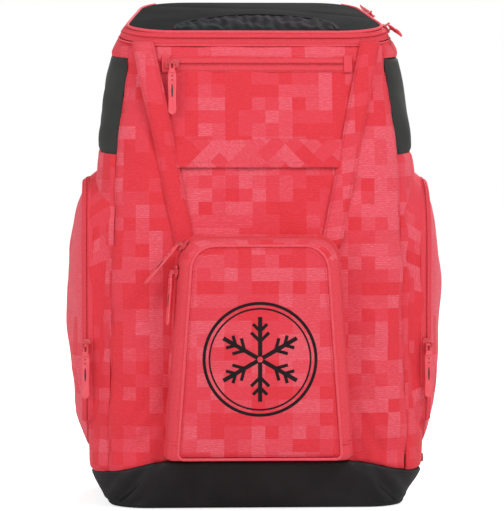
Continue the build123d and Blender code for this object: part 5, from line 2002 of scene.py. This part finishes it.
# ------------------------------------------------------------------ sliders and pulls
@dataclass
class Puller:
    """One zip pull: ring, neck, tab with a black insert, two dots and a round end."""

    name: str
    long: float = 50.0
    neck: float = 7.0
    wide: float = 9.0
    thick: float = 2.0
    ring_r: float = 3.2
    wire: float = 1.0

    def frame(self) -> tuple[Array, Array, Array, Array]:
        """The pull's own axes, from its hinge.

        Returns:
            The pivot in millimetres, and the directions along, across and out of the tab.
        """
        joint = next(j for j in frame["joints"] if j["name"] == f"{self.name}_pull_swing")
        pivot = np.array(joint["pos_m"]) / MM
        across = -unit(np.array(joint["axis"], float))
        node = frame["nodes"][f"{self.name}_pull"]
        spots = np.array([v.co for v in node.data.vertices]) / MM
        forward = spots.mean(axis=0) - pivot
        forward = unit(forward - across * (forward @ across))
        return pivot, forward, across, np.cross(forward, across)

    def half_at(self, x: Array) -> Array:
        """Half the tab's width along its length."""
        share = np.clip(x / self.long, 0, 1)
        waist = 0.10 * np.exp(-(((share - 0.62) / 0.16) ** 2))
        half = self.wide / 2 * (0.80 + 0.2 * ease(share / 0.16) - waist)
        for distance, least in ((x / 1.8, 0.03), ((self.long - x) / (self.wide / 2), 0.02)):
            half = half * np.sqrt(np.maximum(1 - (1 - np.clip(distance, 0, 1)) ** 2, least))
        return half

    def local_tab(self) -> tuple[Array, list[list[int]]]:
        """The tab's points and faces in its own frame."""
        x = np.unique(np.concatenate([
            np.array([0.0, 0.25, 0.6, 1.1, 1.8]), np.linspace(3.0, self.long - 4.5, 16),
            self.long - np.array([4.5, 3.4, 2.3, 1.4, 0.7, 0.25, 0.0]),
        ]))
        half = self.half_at(x)
        left = [(-1.0, 0.0), (-0.97, 0.55), (-0.86, 0.9), (-0.62, 1.0), (-0.3, 0.86)]
        section = [*left, (0.0, 0.84), *((-w, h) for w, h in left[::-1])]
        outline = section + [(w, -h) for w, h in section[-2:0:-1]]
        points = np.array([
            [self.neck + x[i], half[i] * w, self.thick / 2 * h] for i in range(len(x)) for w, h in outline
        ])
        count, faces = len(outline), []
        for i in range(len(x) - 1):
            for j in range(count):
                k = (j + 1) % count
                faces.append([i * count + j, i * count + k, (i + 1) * count + k, (i + 1) * count + j])
        faces.append(list(range(count))[::-1])
        faces.append([(len(x) - 1) * count + j for j in range(count)])
        return points, faces

    def build(self) -> None:
        """Builds the pull and hands it over."""
        pivot, forward, across, out = self.frame()

        def place(local: Array) -> Array:
            return pivot + local[:, :1] * forward + local[:, 1:2] * across + local[:, 2:] * out

        tab_points, tab_faces = self.local_tab()
        tab = mesh_object(f"{self.name}_tab", place(tab_points), tab_faces)
        face_outwards(tab)
        turn = np.linspace(0, 2 * math.pi, 29)[:-1]
        loop = np.column_stack([
            self.neck * 0.5 + (self.neck * 0.5 + 0.9) * np.cos(turn), 2.35 * np.sin(turn), np.zeros(28)])
        ring = tube("ring", place(loop), alike(out, 28), circle_profile(self.wire, sides=8), True)
        knot_x = np.linspace(self.neck - 0.6, self.neck + 4.4, 6)
        knot = tube(
            "knot", place(np.column_stack([knot_x, 0 * knot_x, 0 * knot_x])), alike(out, 6),
            slab_profile(6.4, 3.0, 1.2, low=-1.5),
        )
        body = joined(f"{self.name}_pull_tab", [tab, ring, knot])
        dress(body, "pull")
        inserts = []
        for sign in (-1, 1):
            height = sign * self.thick * 0.42

            def inlay(x: Array, profile: Sequence[tuple[float, float]], grow: Array) -> bpy.types.Object:
                """A flat inlay along the tab's middle line."""
                line = np.column_stack([self.neck + x, 0 * x, np.full(len(x), height)])
                return tube("inlay", place(line), alike(out * sign, len(x)), profile, scale=grow)

            taper = np.sin(np.linspace(0.12, math.pi - 0.12, 14)) ** 0.4
            inserts.append(inlay(np.linspace(17.0, 31.0, 14), slab_profile(1.7, 0.34, 0.15), taper))
            for dot_x in (7.5, 12.0):
                x = dot_x + np.linspace(-0.75, 0.75, 5)
                grow = np.array([0.35, 0.85, 1.0, 0.85, 0.35])
                inserts.append(inlay(x, slab_profile(1.5, 0.36, 0.15), grow))
        marks = joined(f"{self.name}_pull_insert", inserts)
        dress(marks, "slit")
        hand_over(body, f"{self.name}_pull_body", [f"{self.name}_pull"])
        hand_over(marks, f"{self.name}_pull_body")


# ------------------------------------------------------------------ carrying side
@dataclass
class CarryingSide:
    """Back pads, shoulder straps, webbing and the haul handle."""

    wall_y: float = 125.0
    pad_thick: float = 14.0
    pad_corner: float = 16.0
    strap_wide: float = 56.0
    strap_thick: float = 12.0
    sim_frames: int = 20
    cap: float = 5.0

    def loaf(self, name: str, x0: float, x1: float, z0: float, z1: float) -> bpy.types.Object:
        """A closed pad: flat behind, round at its edges, crowned."""
        stations = [(0.0, 0.0), (0.0, 0.30), (0.6, 0.55), (2.2, 0.80), (5.0, 0.94), (9.0, 1.0)]
        thick = self.pad_thick - 3.0
        rings = []
        for inset, rise in stations:
            left, right, low, high = x0 + inset, x1 - inset, z0 + inset, z1 - inset
            corners = [(right, low), (right, high), (left, high), (left, low)]
            flat = rounded(corners, [max(self.pad_corner - inset, 3.0)] * 4, 12, 8)
            depth = np.full(len(flat), self.wall_y + 0.4 + thick * rise)
            rings.append(np.column_stack([flat[:, 0], depth, flat[:, 1]]))
        count = len(rings[0])
        points = np.concatenate(rings)
        faces = []
        for r in range(len(rings) - 1):
            for j in range(count):
                here, after = r * count + j, r * count + (j + 1) % count
                faces.append([here, after, after + count, here + count])
        faces.append(list(range(count)))
        faces.append([(len(rings) - 1) * count + j for j in range(count)][::-1])
        obj = mesh_object(name, points, faces)
        face_outwards(obj)
        return obj

    def swell(self, obj: bpy.types.Object) -> None:
        """Fills a pad by cloth simulation, and keeps each point within a cap of where it was."""
        remesh = obj.modifiers.new("even", "REMESH")
        remesh.mode, remesh.voxel_size = "VOXEL", 4.5 * MM
        settled(obj)
        start = np.array([v.co for v in obj.data.vertices])
        cloth = obj.modifiers.new("fill", "CLOTH")
        cloth.settings.use_pressure = True
        cloth.settings.uniform_pressure_force = 4.0
        cloth.settings.effector_weights.gravity = 0.0
        cloth.settings.quality = 4
        cloth.point_cache.frame_start, cloth.point_cache.frame_end = 1, self.sim_frames
        scene = bpy.context.scene
        for number in range(1, self.sim_frames + 1):
            scene.frame_set(number)
        settled(obj)
        scene.frame_set(1)
        move = np.array([v.co for v in obj.data.vertices]) - start
        length = np.linalg.norm(move, axis=1, keepdims=True)
        capped = start + move * np.minimum(1.0, self.cap * MM / np.maximum(length, 1e-9))
        capped[:, 1] = np.maximum(capped[:, 1], (self.wall_y + 0.3) * MM)
        obj.data.vertices.foreach_set("co", capped.ravel())

    def channels(
        self, obj: bpy.types.Object, lines: Sequence[tuple[tuple[float, float], tuple[float, float]]]
    ) -> None:
        """Presses sewn channels into a pad's outer face.

        Args:
            obj: the pad.
            lines: start and end of each channel, as x and z.
        """
        smooth = obj.modifiers.new("finer", "SUBSURF")
        smooth.levels = smooth.render_levels = 1
        settled(obj)
        spots = np.array([v.co for v in obj.data.vertices]) / MM
        face = ease((spots[:, 1] - self.wall_y - 3.0) / 5.0)
        press = np.zeros(len(spots))
        for start, end in lines:
            a, b = np.array(start), np.array(end)
            flat = spots[:, [0, 2]]
            t = np.clip(((flat - a) @ (b - a)) / ((b - a) @ (b - a)), 0, 1)
            d = np.linalg.norm(flat - (a + t[:, None] * (b - a)), axis=1)
            press = np.maximum(press, np.exp(-((d / 3.2) ** 2)))
        spots[:, 1] -= 4.6 * press * face
        obj.data.vertices.foreach_set("co", (spots * MM).ravel())
        obj.data.shade_smooth()

    def pads(self) -> None:
        """The two back pads and the lumbar pad."""
        made = []
        for sign in (-1, 1):
            x0, x1 = sorted((sign * 31.0, sign * 101.0))
            pad = self.loaf(f"back_pad_{sign}", x0, x1, 218.0, 467.0)
            self.swell(pad)
            lines = [((x0 + 8, z), (x1 - 8, z + sign * 9.0)) for z in (262.0, 304.0, 346.0, 388.0, 430.0)]
            self.channels(pad, lines)
            made.append(pad)
        lumbar = self.loaf("lumbar_pad", -102.0, 102.0, 73.0, 192.0)
        self.swell(lumbar)
        self.channels(lumbar, [
            ((-84, 132.0), (-24, 132.0)), ((84, 132.0), (24, 132.0)),
            ((-24, 100.0), (-24, 165.0)), ((24, 100.0), (24, 165.0)),
        ])
        made.append(lumbar)
        obj = dress(joined("back_pads_padded", made), "spacer")
        hand_over(obj, "pack", ["back_pads"])

    def centreline(self) -> tuple[Array, Array, Array]:
        """The shoulder strap's line: y, z, and x for the right strap."""
        spots = np.array([
            (127.5, 503.0, 72.0), (136.0, 502.0, 72.2), (146.0, 495.0, 73.5), (155.0, 482.0, 77.5),
            (163.0, 468.0, 82.0), (168.0, 454.0, 85.6), (168.9, 430.0, 86.0), (168.9, 380.0, 86.0),
            (168.9, 330.0, 86.0), (167.2, 300.0, 86.0), (164.5, 270.0, 86.0), (161.5, 240.0, 86.0),
            (161.0, 235.4, 86.0),
        ])
        run = along(spots)
        places = np.linspace(0, run[-1], 90)
        y, z, x = (np.interp(places, run, spots[:, i]) for i in range(3))
        kernel = np.array([1, 3, 5, 6, 5, 3, 1], float)
        kernel /= kernel.sum()

        def smooth(v: Array) -> Array:
            padded = np.concatenate([2 * v[0] - v[3:0:-1], v, 2 * v[-1] - v[-2:-5:-1]])
            return np.convolve(padded, kernel, "valid")

        return smooth(y), smooth(z), smooth(x)

    def shoulder(self, side: Side) -> None:
        """One padded shoulder strap with its edge binding and daisy chain."""
        y, z, x = self.centreline()
        path = np.column_stack([side.value * x, y, z])
        forward = tangents(path)
        outs = unit(np.cross(forward, alike([1.0, 0.0, 0.0], len(path))))
        outs = np.where(outs[:, 1:2] < 0, -outs, outs)
        half, thick = self.strap_wide / 2, self.strap_thick
        shape = []
        for w in (1.0, 0.96, 0.86, 0.7, 0.5, 0.25, 0.0, -0.25, -0.5, -0.7, -0.86, -0.96, -1.0):
            shape.append((w * (half - 0.6), thick / 2 * (1 - abs(w) ** 3.5) ** 0.55 * 0.96))
        outline = shape + [(w, -h) for w, h in shape[-2:0:-1]]
        pad = tube(f"shoulder_strap_{side.word}_padded", path, outs, outline)
        dress(pad, "spacer")
        hand_over(pad, "pack", [f"shoulder_strap_{side.word}"])
        edges = []
        across = unit(np.cross(outs, forward))
        for sign in (-1, 1):
            line = path + across * sign * (half - 1.2)
            edges.append(tube("edge", line, outs, slab_profile(2.6, 5.0, 1.1, low=-2.5)))
        chain = path[10:80] + outs[10:80] * (thick / 2 - 0.15)
        edges.append(tube("chain", chain, outs[10:80], slab_profile(20.0, 1.2, 0.4)))
        trim = joined(f"shoulder_strap_{side.word}_binding", edges)
        hand_over(dress(trim, "binding"), "pack")
        for w in (-7.5, 7.5):
            row = chain + across[10:80] * w + outs[10:80] * 1.2
            ROWS.add("pack", "black_stitch", row, outs[10:80])

    def handle(self) -> None:
        """The webbing haul handle, hanging from its pin, with a padded grip."""
        pin_y, pin_z = 132.0, 530.0
        parts = []
        for sign in (-1, 1):
            z = pin_z + np.linspace(2.8, -40.0, 26)
            leg = np.column_stack([np.full(26, sign * 28.0), np.full(26, pin_y), z])
            outs = alike([0.0, 1.0, 0.0], 26)
            parts.append(tube("leg", leg[6:], outs[6:], slab_profile(18.0, 3.4, 1.2, low=-1.7)))
            turn = np.linspace(0, 2 * math.pi, 33)[:-1]
            eye = np.column_stack([
                np.full(32, sign * 28.0), pin_y + 4.35 * np.sin(turn), pin_z + 4.35 * np.cos(turn)])
            eye_out = np.column_stack([np.zeros(32), np.sin(turn), np.cos(turn)])
            parts.append(tube("eye", eye, eye_out, slab_profile(18.0, 2.2, 0.8, low=-1.1), closed=True))
        x = np.linspace(-36.5, 36.5, 50)
        swell = 1 + 0.12 * np.sin(np.linspace(0, math.pi, 50))
        grip = np.column_stack([x, np.full(50, pin_y), np.full(50, 493.0)])
        profile = slab_profile(13.5, 4.0, 1.7, low=-2.0)
        parts.append(tube("grip", grip, alike((0.0, 1.0, 0.0), 50), profile, scale=swell))
        handle = joined("haul_handle_webbing", parts)
        hand_over(dress(handle, "webbing"), "grab_loop", ["haul_handle"])

    def lower_webbing(self) -> None:
        """The two adjusting webbings from the ladder locks down to the base, with sewn ends."""
        low, high = (np.array(corner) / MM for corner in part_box("lower_webbing"))
        parts = []
        for sign in (-1, 1):
            share = np.linspace(0.0, 1.0, 60)
            x = sign * (86.0 + (122.0 - 86.0) * share)
            y = (high[1] - 0.9) + (low[1] - high[1] + 1.8) * share
            z = high[2] + (low[2] - high[2]) * share
            path = np.column_stack([x, y, z])
            forward = tangents(path)
            outs = unit(np.array([0.0, 1.0, 0.0]) - forward * forward[:, 1:2])
            parts.append(tube("web", path, outs, slab_profile(25.0, 1.7, 0.5, low=-0.85)))
            across = unit(np.cross(outs, forward))
            for w in (-10.8, 10.8):
                ROWS.add("pack", "black_stitch", path + across * w + outs * 0.95, outs)
            end, end_outs = path[-8:-1], outs[-8:-1]
            for w in (-1, 1):
                slant = end + across[-8:-1] * (np.linspace(-9.5, 9.5, 7)[:, None] * w) + end_outs * 0.95
                ROWS.add("pack", "black_stitch", slant, end_outs)
        obj = dress(joined("lower_webbing_woven", parts), "webbing")
        hand_over(obj, "pack", ["lower_webbing"])

    def chest_webbing(self) -> None:
        """The chest strap's two lengths of webbing."""
        low, high = (np.array(corner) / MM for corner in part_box("chest_webbing"))
        middle_y, middle_z = (low[1] + high[1]) / 2, (low[2] + high[2]) / 2
        thick = high[1] - low[1]
        parts = []
        for x0, x1 in ((low[0], -23.0), (12.8, high[0])):
            x = np.linspace(x0, x1, 30)
            path = np.column_stack([x, np.full(30, middle_y), np.full(30, middle_z)])
            outs = alike([0.0, 1.0, 0.0], 30)
            profile = slab_profile(high[2] - low[2], thick, 0.45, low=-thick / 2)
            parts.append(tube("web", path, outs, profile))
            for w in (-7.8, 7.8):
                line = path + np.array([0.0, thick / 2 + 0.1, w])
                ROWS.add("chest_strap", "black_stitch", line, outs)
        obj = dress(joined("chest_webbing_woven", parts), "webbing")
        hand_over(obj, "chest_strap", ["chest_webbing"])

    def build(self) -> None:
        """Builds the carrying side."""
        self.pads()
        self.lower_webbing()
        self.chest_webbing()
        for side in Side:
            self.shoulder(side)
        self.handle()


# ------------------------------------------------------------------ inside
@dataclass
class InnerCloth:
    """The padded shelf and divider and the upper pocket's bag, softened from their plain solids."""

    voxel: float = 2.4
    names: tuple[str, ...] = ("helmet_shelf", "boot_divider", "upper_pocket_bag")

    def soft_copy(self, name: str) -> bpy.types.Object:
        """A merged and evenly meshed copy of a plain solid, rounded and slightly uneven."""
        mesh = frame["nodes"][name].data.copy()
        work = bmesh.new()
        work.from_mesh(mesh)
        bmesh.ops.remove_doubles(work, verts=work.verts, dist=0.01 * MM)
        work.to_mesh(mesh)
        work.free()
        mesh.name = f"{name}_padded"
        obj = bpy.data.objects.new(f"{name}_padded", mesh)
        bpy.context.scene.collection.objects.link(obj)
        even = obj.modifiers.new("even", "REMESH")
        even.mode, even.voxel_size = "VOXEL", self.voxel * MM
        soft = obj.modifiers.new("soft", "SMOOTH")
        soft.factor, soft.iterations = 0.5, 3
        settled(obj)
        spots = np.array([v.co for v in obj.data.vertices]) / MM
        normals = np.array([v.normal for v in obj.data.vertices])
        waves = Rumple(151, 52.0).at(spots) * 0.35
        obj.data.vertices.foreach_set("co", ((spots + normals * waves[:, None]) * MM).ravel())
        obj.data.shade_smooth()
        return obj

    def build(self) -> None:
        """Builds the three pieces."""
        for name in self.names:
            obj = self.soft_copy(name)
            hand_over(dress(obj, "lining"), "pack", [name])


# ------------------------------------------------------------------ pieces kept from the frame
@dataclass(frozen=True)
class KeptPieces:
    """Nodes whose own shape is right, with the finish that each takes."""

    finishes: tuple[tuple[str, str], ...] = (
        ("ladder_locks", "plastic"), ("haul_lugs", "plastic"), ("chest_clips", "plastic"),
        ("chest_buckle_female", "plastic"), ("chest_buckle_male", "plastic"), ("base_board", "board"),
        ("frame_sheet", "board"),
    )

    def build(self) -> None:
        """Dresses each kept node."""
        for name, finish in self.finishes:
            self.dress_node(name, finish)
        for name in PULLS:
            self.dress_node(f"{name}_slider", "enamel")

    @staticmethod
    def dress_node(name: str, finish: str) -> None:
        """Puts one finish on a node."""
        obj = frame["nodes"][name]
        obj.data.materials.clear()
        obj.data.materials.append(FINISHES.get(finish))
        log.info("%s keeps its shape, in %s", name, finish)


PULLS = ("upper_pocket", "pocket_arc", "pocket_run", "side_left", "side_right", "lid_front", "lid_back")


# ------------------------------------------------------------------ studio
@dataclass
class Studio:
    """Camera, pale floor and plain soft light."""

    distance: float = 3.0
    azimuth: float = -2.5
    height: float = 0.40
    lens: float = 187.6
    target: tuple[float, float, float] = (-0.0005, 0.0, 0.2680)
    world_light: float = 0.46
    floor_glow: float = 0.66

    def camera(self) -> None:
        """Makes the camera."""
        data = bpy.data.cameras.new("studio_camera")
        data.lens = self.lens
        camera = bpy.data.objects.new("studio_camera", data)
        bpy.context.scene.collection.objects.link(camera)
        angle = math.radians(self.azimuth)
        camera.location = (
            self.target[0] + self.distance * math.sin(angle), -self.distance * math.cos(angle), self.height)
        aim = Vector(self.target) - camera.location
        camera.rotation_euler = aim.to_track_quat("-Z", "Y").to_euler()
        bpy.context.scene.camera = camera

    def lamp(self, name: str, place: tuple[float, float, float], size: float, power: float) -> None:
        """Adds one soft lamp that faces the bag."""
        data = bpy.data.lights.new(name, "AREA")
        data.shape, data.size, data.energy = "SQUARE", size, power
        lamp = bpy.data.objects.new(name, data)
        bpy.context.scene.collection.objects.link(lamp)
        lamp.location = place
        lamp.rotation_euler = (Vector((0.0, 0.0, 0.28)) - lamp.location).to_track_quat("-Z", "Y").to_euler()

    def seen_white(self, g: Graph, plain: bpy.types.NodeSocket, kind: str) -> bpy.types.NodeSocket:
        """White for the eye, gloss and glass; the plain shader for light."""
        path = g.node("ShaderNodeLightPath")
        seen = g.math("MAXIMUM", path.outputs["Is Camera Ray"], path.outputs["Is Glossy Ray"])
        seen = g.math("MAXIMUM", seen, path.outputs["Is Transmission Ray"])
        white = g.node(kind, {"Color": (1.0, 1.0, 1.0, 1.0), "Strength": 1.0})
        return g.node("ShaderNodeMixShader", {0: seen, 1: plain, 2: white.outputs[0]}).outputs[0]

    def world(self) -> None:
        """Makes the plain surrounding light."""
        world = bpy.data.worlds.new("studio_world")
        bpy.context.scene.world = world
        g = Graph(world)
        plain = g.node("ShaderNodeBackground", {"Color": (1.0, 1.0, 1.0, 1.0), "Strength": self.world_light})
        shader = self.seen_white(g, plain.outputs[0], "ShaderNodeBackground")
        g.node("ShaderNodeOutputWorld", {"Surface": shader})

    def floor(self) -> None:
        """Makes the pale floor, which keeps the bag's shadow."""
        size = 12000.0
        corners = np.array([(x * size, y * size, -0.2) for x, y in ((-1, -1), (1, -1), (1, 1), (-1, 1))])
        floor = mesh_object("studio_floor", corners, [[0, 1, 2, 3]])
        g = Graph.of_material("pale_floor")
        diffuse = g.node("ShaderNodeBsdfDiffuse", {"Color": (0.86, 0.86, 0.86, 1.0)})
        path = g.node("ShaderNodeLightPath")
        strength = g.math("MULTIPLY", path.outputs["Is Camera Ray"], self.floor_glow)
        glow = g.node("ShaderNodeEmission", {"Color": (1.0, 1.0, 1.0, 1.0), "Strength": strength})
        both = g.node("ShaderNodeAddShader", {0: diffuse.outputs[0], 1: glow.outputs[0]})
        g.node("ShaderNodeOutputMaterial", {"Surface": both.outputs[0]})
        floor.data.materials.append(g.owner)

    def build(self) -> None:
        """Builds the studio."""
        bpy.context.scene.view_settings.view_transform = "Standard"
        self.camera()
        self.world()
        self.floor()
        self.lamp("key_light", (1.7, -2.2, 2.6), 1.4, 52.0)
        self.lamp("fill_light", (-2.2, -2.0, 1.3), 1.8, 27.0)
        self.lamp("back_light", (0.8, 2.4, 1.9), 1.6, 52.0)


def main() -> None:
    """Builds the whole look and reports each piece."""
    logging.basicConfig(level=logging.INFO, format="%(name)s: %(message)s")
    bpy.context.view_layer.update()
    Studio().build()
    Shell().build()
    Lid().build()
    FrontDress().build()
    FrontPocket().build()
    for side in Side:
        BootDoor(side).build()
    for name in PULLS:
        Puller(name).build()
    CarryingSide().build()
    InnerCloth().build()
    finishes = {"stitch": "thread", "coil": "coil", "black_stitch": "black_thread"}
    ROWS.make_all({kind: FINISHES.get(name) for kind, name in finishes.items()})
    KeptPieces().build()


if __name__ == "__main__":
    main()
